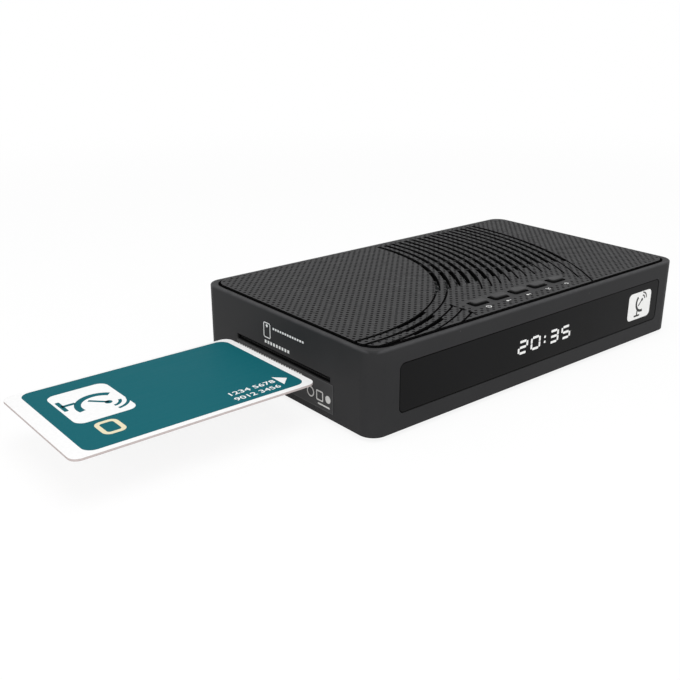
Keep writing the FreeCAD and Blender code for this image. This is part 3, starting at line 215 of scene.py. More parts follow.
def remap(tree, value, low, high, start=0.0, end=1.0, smooth=False):
    kind = "SMOOTHSTEP" if smooth else "LINEAR"
    inputs = {"Value": value, "From Min": low, "From Max": high, "To Min": start, "To Max": end}
    return addNode(tree, "ShaderNodeMapRange", inputs, interpolation_type=kind).outputs["Result"]


def mixColours(tree, mask, first, second):
    # the colour sockets of a mix node are numbers 6 and 7, and its colour comes out of number 2
    node = addNode(tree, "ShaderNodeMix", data_type="RGBA")
    setInputs(tree, node, {0: mask, 6: first, 7: second})
    return node.outputs[2]


def newMaterial(name):
    material = bpy.data.materials.new(name)
    material.use_nodes = True
    tree = material.node_tree
    shader = tree.nodes["Principled BSDF"]
    place = addNode(tree, "ShaderNodeTexCoord").outputs["Object"]
    return material, tree, shader, place


def newGroup(name, inputs, outputs):
    tree = bpy.data.node_groups.new(name, "ShaderNodeTree")
    for label, kind, value in inputs:
        socket = tree.interface.new_socket(label, in_out="INPUT", socket_type=kind)
        if value is not None:
            socket.default_value = value
    for label in outputs:
        tree.interface.new_socket(label, in_out="OUTPUT", socket_type="NodeSocketFloat")
    return tree, tree.nodes.new("NodeGroupInput").outputs, tree.nodes.new("NodeGroupOutput").inputs


def useGroup(tree, group, **inputs):
    node = addNode(tree, "ShaderNodeGroup", node_tree=group)
    setInputs(tree, node, inputs)
    return node.outputs


def seenDirectly(tree):
    # one for the camera, for reflections and through clear pieces
    light = addNode(tree, "ShaderNodeLightPath").outputs
    seen = work(tree, "MAXIMUM", light["Is Camera Ray"], light["Is Glossy Ray"])
    return work(tree, "MAXIMUM", seen, light["Is Transmission Ray"])


def rgb(colour):
    return (*colour, 1.0)


def scaled(colour, factor):
    return (*[min(1.0, channel * factor) for channel in colour], 1.0)


def mottled(tree, mask, colour, low, high):
    # a colour that wanders between two shades of itself
    return mixColours(tree, mask, scaled(colour, low), scaled(colour, high))


def dusted(tree, grain, colour, share, dust=(0.35, 0.34, 0.33)):
    return mixColours(tree, work(tree, "MULTIPLY", grain["Specks"], share), colour, rgb(dust))


def setSurface(tree, shader, colour, roughness, specular):
    setInputs(
        tree, shader, {"Base Color": colour, "Roughness": roughness, "Specular IOR Level": specular}
    )


# shared surface effects
def makeMouldGrain():
    # spark-eroded tool grain, slow patches of handling and a few dust specks
    tree, given, made = newGroup(
        "mouldGrain",
        [
            ("Place", "NodeSocketVector", None),
            ("Grain", "NodeSocketFloat", 2600.0),
            ("Patch", "NodeSocketFloat", 45.0),
        ],
        ["Height", "Patches", "Specks"],
    )
    place = given["Place"]
    fine = addNoise(tree, place, given["Grain"], 2.0)
    coarse = {"Vector": place, "Scale": work(tree, "MULTIPLY", given["Grain"], 0.37)}
    pits = addNode(tree, "ShaderNodeTexVoronoi", coarse, feature="SMOOTH_F1")
    height = work(tree, "ADD", fine, work(tree, "MULTIPLY", pits.outputs["Distance"], 0.6))
    patches = addNoise(tree, place, given["Patch"], 4.0)
    speckCells = addNode(tree, "ShaderNodeTexVoronoi", {"Vector": place, "Scale": 420.0})
    nearMiddle = remap(tree, speckCells.outputs["Distance"], 0.03, 0.07, 1.0, 0.0)
    chosen = addNode(tree, "ShaderNodeSeparateColor", {"Color": speckCells.outputs["Color"]}).outputs[0]
    specks = work(tree, "MULTIPLY", nearMiddle, work(tree, "GREATER_THAN", chosen, 0.93))
    tree.links.new(height, made["Height"])
    tree.links.new(remap(tree, patches, 0.3, 0.7), made["Patches"])
    tree.links.new(specks, made["Specks"])
    return tree


def insideBox(tree, given):
    # how far a place lies inside a box, along x, y and z
    fromLow = vectorWork(tree, "SUBTRACT", given["Place"], given["Low"])
    fromHigh = vectorWork(tree, "SUBTRACT", given["High"], given["Place"])
    return splitPlace(tree, vectorWork(tree, "MINIMUM", fromLow, fromHigh))


def makeBoxMask():
    # one inside a box given by its two corners, rounded in plan and fading over a short way
    tree, given, made = newGroup(
        "boxMask",
        [
            ("Place", "NodeSocketVector", None),
            ("Low", "NodeSocketVector", (0, 0, 0)),
            ("High", "NodeSocketVector", (1, 1, 1)),
            ("Corner", "NodeSocketFloat", 0.001),
            ("Fade", "NodeSocketFloat", 0.0001),
        ],
        ["Inside"],
    )
    x, y, z = insideBox(tree, given)
    short = [work(tree, "MAXIMUM", work(tree, "SUBTRACT", given["Corner"], side), 0.0) for side in (x, y)]
    squares = [work(tree, "MULTIPLY", side, side) for side in short]
    reach = work(tree, "SQRT", work(tree, "ADD", *squares))
    nearest = work(tree, "MINIMUM", work(tree, "SUBTRACT", given["Corner"], reach), z)
    tree.links.new(work(tree, "DIVIDE", nearest, given["Fade"], clamp=True), made["Inside"])
    return tree


def makeEdgeWear():
    # one along the edges of a box given by its two corners, broken up by noise
    tree, given, made = newGroup(
        "edgeWear",
        [
            ("Place", "NodeSocketVector", None),
            ("Low", "NodeSocketVector", (0, 0, 0)),
            ("High", "NodeSocketVector", (1, 1, 1)),
            ("Width", "NodeSocketFloat", 0.001),
        ],
        ["Wear"],
    )
    x, y, z = insideBox(tree, given)
    pairs = [work(tree, "MAXIMUM", a, b) for a, b in ((x, y), (y, z), (x, z))]
    nearest = work(tree, "MINIMUM", work(tree, "MINIMUM", pairs[0], pairs[1]), pairs[2])
    edge = work(tree, "SUBTRACT", 1.0, work(tree, "DIVIDE", nearest, given["Width"]), clamp=True)
    brokenUp = remap(tree, addNoise(tree, given["Place"], 260.0, 5.0), 0.38, 0.66, 0.7, 1.0)
    tree.links.new(work(tree, "MULTIPLY", edge, brokenUp), made["Wear"])
    return tree


def makeStreaks():
    # long fine scratches along one direction, as on drawn sheet
    tree, given, made = newGroup(
        "streaks",
        [
            ("Place", "NodeSocketVector", None),
            ("Stretch", "NodeSocketVector", (1, 1, 1)),
            ("Fineness", "NodeSocketFloat", 1500.0),
        ],
        ["Streak", "Blotch"],
    )
    drawn = vectorWork(tree, "MULTIPLY", given["Place"], given["Stretch"])
    tree.links.new(addNoise(tree, drawn, given["Fineness"], 3.0), made["Streak"])
    blotch = addNoise(tree, given["Place"], 180.0, 3.0)
    tree.links.new(remap(tree, blotch, 0.35, 0.65), made["Blotch"])
    return tree


def makeDimples():
    # one in round pits on a square lattice turned by half a right angle
    tree, given, made = newGroup(
        "dimples",
        [
            ("Place", "NodeSocketVector", None),
            ("Pitch", "NodeSocketFloat", 0.002),
            ("Radius", "NodeSocketFloat", 0.0005),
        ],
        ["Pit"],
    )
    turn = {"Vector": given["Place"], "Rotation": (0, 0, math.radians(45))}
    turned = addNode(tree, "ShaderNodeMapping", turn)
    cells = addNode(
        tree,
        "ShaderNodeTexVoronoi",
        {"Vector": turned.outputs[0], "Scale": work(tree, "DIVIDE", 1.0, given["Pitch"]), "Randomness": 0.0},
        voronoi_dimensions="2D",
    )
    distance = work(tree, "MULTIPLY", cells.outputs["Distance"], given["Pitch"])
    tree.links.new(work(tree, "LESS_THAN", distance, given["Radius"]), made["Pit"])
    return tree


mouldGrain = makeMouldGrain()
boxMask = makeBoxMask()
edgeWear = makeEdgeWear()
streaks = makeStreaks()
dimples = makeDimples()
print("shared effects made")


# finishes
def mouldedPlastic(name, look):
    # grained moulding that may have lighter edges, from wear and a painted highlight, bands of painted shade
    # by height and painted shade in hollows
    material, tree, shader, place = newMaterial(name)
    grain = useGroup(tree, mouldGrain, Place=place, Grain=look["grain"], Patch=look.get("patch", 45.0))
    colour = mottled(tree, grain["Patches"], look["colour"], 0.9, 1.1)
    roughness = remap(tree, grain["Patches"], 0.0, 1.0, look["roughness"] - 0.05, look["roughness"] + 0.05)
    # lighter edges: partly wear and partly a painted highlight
    if "wearAndHighlightBox" in look:
        low, high = look["wearAndHighlightBox"]
        wearAndHighlight = useGroup(tree, edgeWear, Place=place, Low=low, High=high, Width=look["wearAndHighlightWidth"])["Wear"]
        colour = mixColours(tree, wearAndHighlight, colour, scaled(look["colour"], look.get("wearAndHighlightLift", 1.7)))
        roughness = work(tree, "SUBTRACT", roughness, work(tree, "MULTIPLY", wearAndHighlight, 0.12))
    colour = dusted(tree, grain, colour, 0.5)
    # bands of painted shade by height
    if "paintedShadeBands" in look:
        level = splitPlace(tree, place)[2]
        for low, high, factor in look["paintedShadeBands"]:
            over, under = work(tree, "GREATER_THAN", level, low), work(tree, "LESS_THAN", level, high)
            inPaintedShadeBand = work(tree, "MULTIPLY", over, under)
            colour = mixColours(tree, inPaintedShadeBand, colour, scaled(look["colour"], factor))
    # painted shade in the hollows inside each box
    for low, high, corner in look.get("paintedShadeBoxes", []):
        shade = useGroup(tree, boxMask, Place=place, Low=low, High=high, Corner=corner)["Inside"]
        colour = mixColours(tree, shade, colour, scaled(look["colour"], 0.12))
        roughness = work(tree, "MAXIMUM", roughness, shade)
    setSurface(tree, shader, colour, roughness, look.get("specular", 0.3))
    addBump(tree, shader, grain["Height"], look["bump"], 0.00004)
    return material


caseLook = {
    "colour": (0.026, 0.026, 0.027),
    "roughness": 0.5,
    "grain": 2400.0,
    "bump": 0.35,
    "specular": 0.07,
    # lighter edges, partly wear and partly a painted highlight, on the left, front and top edges, where the
    # light falls; none past the back, right and lower edges
    "wearAndHighlightBox": (inMetres((leftWall, frontWall, -200)), inMetres((200, 200, caseTop))),
    "wearAndHighlightWidth": 0.0011,
    "wearAndHighlightLift": 2.6,
    "paintedShadeBands": [(0.0, (caseLow[2] + 0.45) * mm, 0.25)],  # low, high, how much lighter or darker; this one is painted shade along the bottom edge
    "paintedShadeBoxes": [  # boxes of painted shade: lowest and highest corner, radius in plan
        (  # painted shade inside the rim, in the groove
            inMetres((leftWall + rimWidth, frontWall + rimWidth, -1)),
            inMetres((caseHigh[0] - rimWidth, caseHigh[1] - rimWidth, caseTop - 0.1)),
            0.0083,
        ),
        (  # painted shade on the card slot's sides
            inMetres((leftWall + 0.05, cardLow[1] - 1.11, cardLow[2] - 0.72)),
            inMetres((leftWall + 5, cardHigh[1] + 1.11, cardTop + 0.72)),
            0.001,
        ),
    ],
}
casePlastic = mouldedPlastic("casePlastic", caseLook)

coverLook = {
    "colour": (0.046, 0.046, 0.047),
    "roughness": 0.55,
    "specular": 0.04,
    "face": panelTop * mm,
    "pitch": 0.00213,
    "pitRadius": 0.00063,
    "pitDepth": 0.0003,
    # how dark the painted shade is in the pits, slots and lines and on the sunk bridges
    "pitPaintedShade": 0.28,
    "slotPaintedShade": 0.02,
    "bridgeDrop": 0.0005,
    "bridgePaintedShade": 0.5,
}


def dimpledPlastic(name, look):
    # as moulded on the face, with painted shade below it: darker in the pits and darkest in the slots and
    # lines
    material, tree, shader, place = newMaterial(name)
    grain = useGroup(tree, mouldGrain, Place=place, Grain=2400.0, Patch=40.0)
    height = splitPlace(tree, place)[2]
    lattice = useGroup(tree, dimples, Place=place, Pitch=look["pitch"], Radius=look["pitRadius"])
    shallow = work(tree, "GREATER_THAN", height, look["face"] - look["pitDepth"] * 1.1)
    inPit = work(tree, "MULTIPLY", lattice["Pit"], shallow)
    below = work(tree, "LESS_THAN", height, look["face"] - 0.00002)
    colour = dusted(tree, grain, mottled(tree, grain["Patches"], look["colour"], 0.92, 1.08), 0.4)
    # painted shade in the pits and slots and on the sunk bridges
    slotShadedColour, pitShadedColour, bridgeShadedColour = [
        scaled(look["colour"], look[shade]) for shade in ("slotPaintedShade", "pitPaintedShade", "bridgePaintedShade")
    ]
    onBridge = work(tree, "COMPARE", height, look["face"] - look["bridgeDrop"], 0.00003)
    paintedShadeBelowFace = mixColours(tree, onBridge, mixColours(tree, inPit, slotShadedColour, pitShadedColour), bridgeShadedColour)
    colour = mixColours(tree, below, colour, paintedShadeBelowFace)
    roughness = remap(tree, grain["Patches"], 0.0, 1.0, look["roughness"] - 0.04, look["roughness"] + 0.04)
    roughness = work(tree, "MAXIMUM", roughness, below)
    setSurface(tree, shader, colour, roughness, look["specular"])
    addBump(tree, shader, grain["Height"], 0.3, 0.00004)
    return material


coverPlastic = dimpledPlastic("coverPlastic", coverLook)
buttonPlastic = mouldedPlastic(
    "buttonPlastic",
    {
        "colour": (0.019, 0.019, 0.02),
        "roughness": 0.45,
        "grain": 3000.0,
        "bump": 0.2,
        "specular": 0.15,
        "patch": 160.0,
        # painted shade on the caps' sides, below their tops
        "paintedShadeBands": [(0.0, (keyTop - 0.23) * mm, 0.15)],
    },
)
socketBlack = mouldedPlastic(
    "socketBlack",
    {"colour": (0.016, 0.016, 0.016), "roughness": 0.45, "grain": 3500.0, "bump": 0.15, "specular": 0.4},
)
readerPlastic = mouldedPlastic(
    "readerPlastic", {"colour": (0.02, 0.02, 0.021), "roughness": 0.55, "grain": 2200.0, "bump": 0.3}
)
insulatorWhite = mouldedPlastic(
    "insulatorWhite",
    {"colour": (0.78, 0.77, 0.72), "roughness": 0.45, "grain": 3000.0, "bump": 0.1, "patch": 220.0},
)
chipBlack = mouldedPlastic(
    "chipBlack",
    {"colour": (0.018, 0.018, 0.019), "roughness": 0.62, "grain": 5200.0, "bump": 0.3, "patch": 120.0},
)
footRubber = mouldedPlastic(
    "footRubber",
    {"colour": (0.017, 0.017, 0.018), "roughness": 0.8, "grain": 1800.0, "bump": 0.5, "specular": 0.25},
)
padGrey = mouldedPlastic(
    "padGrey", {"colour": (0.33, 0.36, 0.4), "roughness": 0.85, "grain": 2600.0, "bump": 0.5, "specular": 0.2}
)
labelFilm = mouldedPlastic(
    "labelFilm",
    {
        "colour": (0.03, 0.03, 0.031),
        "roughness": 0.45,
        "grain": 4200.0,
        "bump": 0.1,
        "specular": 0.15,
        "wearAndHighlightBox": (inMetres(labelLow), inMetres((leftWall + 0.4, labelHigh[1], labelHigh[2]))),
        "wearAndHighlightWidth": 0.0004,
        "wearAndHighlightLift": 2.2,
    },
)


def polishedPlastic(name, look):
    # smooth moulding with faint wiping marks
    material, tree, shader, place = newMaterial(name)
    grain = useGroup(tree, mouldGrain, Place=place, Grain=900.0, Patch=30.0)
    marks = useGroup(tree, streaks, Place=place, Stretch=(0.08, 1.0, 1.0), Fineness=420.0)
    colour = mottled(tree, grain["Patches"], look["colour"], 0.88, 1.12)
    colour = dusted(tree, grain, colour, 0.25, (0.3, 0.3, 0.3))
    if "pane" in look:
        # painted shade: a dark line round a pane that stands upright, along its edge in the case's opening
        x, y, z = splitPlace(tree, place)
        laid = addNode(tree, "ShaderNodeCombineXYZ", {0: x, 1: z, 2: y}).outputs[0]
        (left, bottom), (right, top), corner = look["pane"]
        low, high = (left, bottom, -1), (right, top, 1)
        inner = useGroup(tree, boxMask, Place=laid, Low=low, High=high, Corner=corner)["Inside"]
        colour = mixColours(tree, inner, scaled(look["colour"], 0.1), colour)
    wiped = remap(tree, marks["Streak"], 0.35, 0.65, look["roughness"] * 0.8, look["roughness"] * 1.25)
    setSurface(tree, shader, colour, wiped, look["specular"])
    addBump(tree, shader, grain["Patches"], 0.05, 0.0001)
    return material


windowPlastic = polishedPlastic(
    "windowPlastic",
    {
        "colour": (0.006, 0.006, 0.0063),
        "roughness": 0.14,
        "specular": 0.06,
        "pane": (  # two corners in x and z, radius; the painted shade lies outside them
            inMetres((windowLow[0] + 4.85, windowLow[2] + 2.45)),
            inMetres((windowHigh[0] - 4.85, windowHigh[2] - 2.45)),
            0.0018,
        ),
    },
)
displayGrey = polishedPlastic(
    "displayGrey", {"colour": (0.03, 0.03, 0.032), "roughness": 0.3, "specular": 0.4}
)
lensDark = polishedPlastic("lensDark", {"colour": (0.03, 0.008, 0.018), "roughness": 0.15, "specular": 0.5})
lampLens = polishedPlastic("lampLens", {"colour": (0.45, 0.03, 0.02), "roughness": 0.2, "specular": 0.5})
capacitorSleeve = polishedPlastic(
    "capacitorSleeve", {"colour": (0.02, 0.02, 0.05), "roughness": 0.3, "specular": 0.5}
)


def sheetMetal(name, look):
    # plated or bare metal, drawn along one direction
    material, tree, shader, place = newMaterial(name)
    stretch = look.get("stretch", (0.05, 1.0, 1.0))
    marks = useGroup(tree, streaks, Place=place, Stretch=stretch, Fineness=look["fineness"])
    colour = mottled(tree, marks["Blotch"], look["colour"], 0.86, 1.04)
    low, high = look["roughness"]
    roughness = remap(tree, marks["Streak"], 0.3, 0.7, low, high)
    roughness = work(tree, "ADD", roughness, work(tree, "MULTIPLY", marks["Blotch"], 0.06))
    setInputs(tree, shader, {"Base Color": colour, "Metallic": 1.0, "Roughness": roughness})
    addBump(tree, shader, marks["Streak"], 0.15, 0.00003)
    return material


tinPlate = sheetMetal(
    "tinPlate", {"colour": (0.62, 0.62, 0.6), "roughness": (0.25, 0.42), "fineness": 1500.0}
)
nickelPlate = sheetMetal(
    "nickelPlate",
    {"colour": (0.68, 0.66, 0.62), "roughness": (0.16, 0.3), "fineness": 2400.0, "stretch": (1.0, 0.1, 1.0)},
)
screwSteel = sheetMetal(
    "screwSteel",
    {"colour": (0.5, 0.5, 0.51), "roughness": (0.25, 0.45), "fineness": 2600.0, "stretch": (1.0, 1.0, 0.1)},
)
heatsinkAluminium = sheetMetal(
    "heatsinkAluminium",
    {"colour": (0.6, 0.61, 0.62), "roughness": (0.3, 0.5), "fineness": 1800.0, "stretch": (1.0, 0.04, 1.0)},
)
crystalCan = sheetMetal(
    "crystalCan", {"colour": (0.64, 0.64, 0.63), "roughness": (0.2, 0.35), "fineness": 2000.0}
)
# darkened steel: painted shade for the inside seen through the vents
readerShadedSteel = sheetMetal(
    "readerShadedSteel", {"colour": (0.05, 0.05, 0.052), "roughness": (0.45, 0.6), "fineness": 1500.0}
)
contactGold = sheetMetal(
    "contactGold", {"colour": (0.8, 0.58, 0.24), "roughness": (0.18, 0.32), "fineness": 2600.0}
)


def boardLacquer(name):
    # green solder mask over straight copper tracks, with tinned pads
    material, tree, shader, place = newMaterial(name)
    tracks = addNode(
        tree,
        "ShaderNodeTexBrick",
        {
            "Vector": place,
            "Scale": 260.0,
            "Mortar Size": 0.035,
            "Brick Width": 1.4,
            "Row Height": 0.35,
            "Mortar Smooth": 0.2,
        },
    )
    pads = addNode(tree, "ShaderNodeTexVoronoi", {"Vector": place, "Scale": 330.0})
    pad = work(tree, "LESS_THAN", pads.outputs["Distance"], 0.16)
    track = tracks.outputs["Fac"]
    colour = mixColours(tree, track, rgb((0.003, 0.028, 0.012)), rgb((0.008, 0.06, 0.026)))
    colour = mixColours(tree, pad, colour, rgb((0.55, 0.55, 0.52)))
    roughness = remap(tree, pad, 0.0, 1.0, 0.28, 0.4)
    setInputs(tree, shader, {"Base Color": colour, "Metallic": pad, "Roughness": roughness})
    addBump(tree, shader, work(tree, "ADD", track, pad), 0.4, 0.00006)
    return material


boardGreen = boardLacquer("boardGreen")


def ribbonFilm(name):
    # flat cable: white film with the conductors showing as stripes
    material, tree, shader, place = newMaterial(name)
    stripe = work(tree, "PINGPONG", work(tree, "DIVIDE", splitPlace(tree, place)[0], mm), 0.5)
    conductor = work(tree, "GREATER_THAN", stripe, 0.22)
    colour = mixColours(tree, conductor, rgb((0.78, 0.79, 0.8)), rgb((0.5, 0.51, 0.53)))
    roughness = remap(tree, conductor, 0.0, 1.0, 0.45, 0.35)
    setInputs(tree, shader, {"Base Color": colour, "Roughness": roughness})
    addBump(tree, shader, conductor, 0.4, 0.00008)
    return material


ribbonWhite = ribbonFilm("ribbonWhite")


def printInk(name, colour):
    # thin printed ink with a slightly uneven lay-down
    material, tree, shader, place = newMaterial(name)
    layer = addNoise(tree, place, 3200.0, 3.0)
    shade = mottled(tree, remap(tree, layer, 0.3, 0.7), colour, 0.93, 1.0)
    setSurface(tree, shader, shade, remap(tree, layer, 0.3, 0.7, 0.45, 0.55), 0.35)
    return material


markWhite = printInk("markWhite", (0.86, 0.86, 0.85))
markGrey = printInk("markGrey", (0.6, 0.6, 0.59))
markBlack = printInk("markBlack", (0.012, 0.012, 0.012))
markGold = printInk("markGold", (0.74, 0.66, 0.45))


def laminatedCard(name, look):
    # matt laminate over an ink layer, with hair scratches; the cut sides of the sheet are duller
    material, tree, shader, place = newMaterial(name)
    ink = remap(tree, addNoise(tree, place, 900.0, 4.0), 0.3, 0.7)
    tone = mottled(tree, ink, look["colour"], 0.97, 1.02)
    marks = useGroup(tree, streaks, Place=place, Stretch=(0.06, 1.0, 1.0), Fineness=900.0)
    roughness = remap(tree, marks["Streak"], 0.3, 0.7, look["roughness"] - 0.04, look["roughness"] + 0.04)
    if "side" in look:
        cutSide = work(tree, "LESS_THAN", splitPlace(tree, place)[2], cardTop * mm - 0.00002)
        tone = mixColours(tree, cutSide, tone, rgb(look["side"]))
        roughness = work(tree, "ADD", roughness, work(tree, "MULTIPLY", cutSide, 0.3))
    setSurface(tree, shader, tone, roughness, look["specular"])
    return material


cardTeal = laminatedCard("cardTeal", {"colour": (0.0075, 0.108, 0.132), "roughness": 0.5, "specular": 0.02})
cardWhite = laminatedCard("cardWhite", {"colour": (0.82, 0.82, 0.82), "roughness": 0.5, "specular": 0.1})
cardSheet = laminatedCard(
    "cardSheet",
    {"colour": (0.82, 0.82, 0.82), "roughness": 0.5, "specular": 0.1, "side": (0.5, 0.44, 0.43)},
)

finishOfSlot = {
    "case_plastic": casePlastic,
    "cover_plastic": coverPlastic,
    "window_plastic": windowPlastic,
    "button_plastic": buttonPlastic,
    "foot_rubber": footRubber,
    "screw_steel": screwSteel,
    "label_film": labelFilm,
    "board": boardGreen,
    "chip_black": chipBlack,
    "pad_grey": padGrey,
    "heatsink_aluminium": heatsinkAluminium,
    "tin_plate": tinPlate,
    "nickel": nickelPlate,
    "insulator_white": insulatorWhite,
    "socket_black": socketBlack,
    "capacitor_sleeve": capacitorSleeve,
    "display_grey": displayGrey,
    "lens_dark": lensDark,
    "lamp_lens": lampLens,
    "ribbon_white": ribbonWhite,
    "reader_plastic": readerPlastic,
    "contact_gold": contactGold,
    "card_plastic": cardSheet,
    "crystal_can": crystalCan,
}
for subpart in frame["record"]["subparts"]:
    node = nodes[subpart["node"]]
    finish = finishOfSlot[subpart["material_slot"]]
    if node.material_slots:
        node.material_slots[0].material = finish
    else:
        node.data.materials.append(finish)
# painted shade: darkened, unlike the bright shells that share its slot, so that the inside seen through the
# vents is dark
nodes["card_reader_cover"].material_slots[0].material = readerShadedSteel
print("finishes given to the nodes")


pitSet = {
    "pitch": 2.13,  # of a square lattice turned by half a right angle
    "rows": 87,
    "rim": 0.62,  # radius at the face
    "bed": 0.36,  # radius at the bottom
    "depth": 0.3,
    "over": 0.2,  # how far the plugs stand above the face
    "sides": 8,
    "face": panelTop,
    "panel": (coverHigh[0] - 1, coverHigh[1] - 1),  # half of the pitted area
    "corner": 6.2,  # its radius in plan
    "cell": 4.9,  # the panel is cut into cells, so that no pitted face has many corners
    "keyRow": ((-29.6, -41.0), (26.0, -32.9)),
}


def makePits(look):
    # one tapered plug, repeated over the panel and taken out of it
    slope = (look["rim"] - look["bed"]) / look["depth"]
    tall = look["depth"] + look["over"]
    deselectAll()
    bpy.ops.mesh.primitive_cone_add(
        vertices=look["sides"],
        radius1=look["bed"] * mm,
        radius2=(look["rim"] + slope * look["over"]) * mm,
        depth=tall * mm,
    )
    pits = bpy.context.object
    step = look["pitch"] / math.sqrt(2) * mm
    for side in (1, -1):
        repeatAlong(pits, look["rows"], (side * step, step, 0))
    pits.location = (0, (1 - look["rows"]) * step, (look["face"] + look["over"] - tall / 2) * mm)
    applyPlace(pits)
    (left, front), (right, back) = look["keyRow"]
    wide, deep = look["panel"]
    corner = look["corner"]

    def leftOut(place):
        # asks for the middle of the vertex's own pit, so that a pit goes or stays as a whole
        across = round((place.x + place.y) / step / 2)
        along = round((place.y - place.x) / step / 2)
        x, y = (across - along) * step / mm, (across + along) * step / mm
        inKeyRow = left < x < right and front < y < back
        a, b = abs(x) - wide + corner, abs(y) - deep + corner
        offCorner = min(a, b) > 0 and math.hypot(a, b) > corner
        return inKeyRow or offCorner or max(a, b) > corner

    startEdit()
    selectWhere("VERT", leftOut)
    bpy.ops.mesh.delete(type="VERT")
    endEdit()
    return pits


def cutIntoCells(look):
    # cuts straight across the panel both ways
    startEdit()
    for normal, reach in zip(((1, 0, 0), (0, 1, 0)), look["panel"]):
        for i in range(int(2 * reach / look["cell"]) + 1):
            away = (i * look["cell"] - reach) * mm
            bpy.ops.mesh.select_all(action="SELECT")
            bpy.ops.mesh.bisect(plane_co=[value * away for value in normal], plane_no=normal)
    endEdit()


def makePittedCover(look):
    pits = makePits(look)
    cover = nodes["top_cover"].copy()
    cover.data = cover.data.copy()
    cover.parent = None
    bpy.context.scene.collection.objects.link(cover)
    applyPlace(cover)
    startEdit()
    mergeDoubles()
    endEdit()
    cutIntoCells(look)
    taken = cover.modifiers.new("pits", "BOOLEAN")
    taken.operation = "DIFFERENCE"
    taken.solver = "MANIFOLD"
    taken.object = pits
    bpy.ops.object.modifier_apply(modifier=taken.name)
    bpy.data.objects.remove(pits)
    finishPiece(cover, "pittedCover", "case", "cover_plastic", coverPlastic, 20)
    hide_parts("top_cover")


makePittedCover(pitSet)
print("cover pitted")


# flat marks, drawn lying face up at the middle and then carried to their surface
def drawBar(size, middle=(0, 0), corner=0.0, turn=0.0):
    deselectAll()
    bpy.ops.mesh.primitive_plane_add(size=1, location=(*middle, 0), rotation=(0, 0, turn))
    bar = bpy.context.object
    bar.scale = (size[0], size[1], 1)
    applyPlace(bar)
    if corner:
        startEdit()
        bpy.ops.mesh.select_all(action="SELECT")
        bpy.ops.mesh.bevel(offset=corner, segments=6, affect="VERTICES")
        endEdit()
    return bar


def drawDisc(radius, middle=(0, 0), sides=32, turn=0.0):
    deselectAll()
    bpy.ops.mesh.primitive_circle_add(
        vertices=sides, radius=radius, fill_type="NGON", location=(*middle, 0), rotation=(0, 0, turn)
    )
    disc = bpy.context.object
    applyPlace(disc)
    return disc


def cutMiddle(shape, line):
    # leaves an outline of one even width
    deselectAll()
    bpy.context.view_layer.objects.active = shape
    shape.select_set(True)
    startEdit()
    bpy.ops.mesh.select_mode(type="FACE")
    bpy.ops.mesh.select_all(action="SELECT")
    bpy.ops.mesh.inset(thickness=line)
    bpy.ops.mesh.delete(type="FACE")
    endEdit()
    return shape


def drawArc(radius, line, start, sweep, middle=(0, 0), steps=20):
    # a short bar whose end is spun round the middle
    arc = drawBar((line, line * 0.02), (radius, 0))
    startEdit()
    selectWhere("EDGE", lambda a, b: a.y > 0 and b.y > 0)
    bpy.ops.mesh.spin(steps=steps, angle=-sweep, center=(0, 0, 0), axis=(0, 0, 1))
    endEdit()
    arc.location = (*middle, 0)
    arc.rotation_euler = (0, 0, start)
    applyPlace(arc)
    return arc


def liftMarks(shapes, name, thickness):
    # joins flat shapes and gives them the thickness of the ink
    piece = joinPieces(shapes, name)
    startEdit()
    bpy.ops.mesh.select_mode(type="VERT")
    bpy.ops.mesh.select_all(action="SELECT")
    bpy.ops.mesh.remove_doubles(threshold=0.0000005)
    bpy.ops.mesh.normals_make_consistent(inside=False)
    extrudeBy((0, 0, thickness))
    endEdit()
    return piece


def carryTo(piece, columns, origin):
    # columns are where the mark's right, up and out go
    turn = Matrix(columns).transposed().to_4x4()
    piece.matrix_world = Matrix.Translation(Vector(origin)) @ turn
    applyPlace(piece)


def placeMark(shapes, name, thickness, face, origin, finish, body="case", slot="label_film"):
    mark = liftMarks(shapes, name, thickness)
    carryTo(mark, face, origin)
    finishPiece(mark, name, body, slot, finish)


panelFace = ((1, 0, 0), (0, 1, 0), (0, 0, 1))
frontFace = ((1, 0, 0), (0, 0, 1), (0, -1, 0))
leftFace = ((0, -1, 0), (0, 0, 1), (-1, 0, 0))
backFace = ((-1, 0, 0), (0, 0, 1), (0, 1, 0))
cardFace = ((0, -1, 0), (1, 0, 0), (0, 0, 1))  # read with the card's short side towards the reader

keyMarkSet = {
    "places": {"power": -23.2, "quieter": -12.5, "louder": -1.4, "channelDown": 9.8, "channelUp": 20.5},
    "row": -42.1,
    "face": panelTop,
    "line": 0.27,
    "reach": 0.95,  # half of a mark
    "thickness": 0.03,
}


def drawSpeaker(reach):
    # a horn with the small box behind it
    horn = drawDisc(reach * 0.75, (-reach * 0.35, 0), 3, math.radians(-90))
    box = drawBar((reach * 0.45, reach * 0.5), (-reach * 0.95, 0))
    return [horn, box]


def drawArrowHead(line, reach, up):
    side = 1 if up else -1
    size = (reach * 1.5, line)
    left = drawBar(size, (-reach * 0.45, 0), line * 0.3, math.radians(40 * side))
    right = drawBar(size, (reach * 0.45, 0), line * 0.3, math.radians(-40 * side))
    return [left, right]


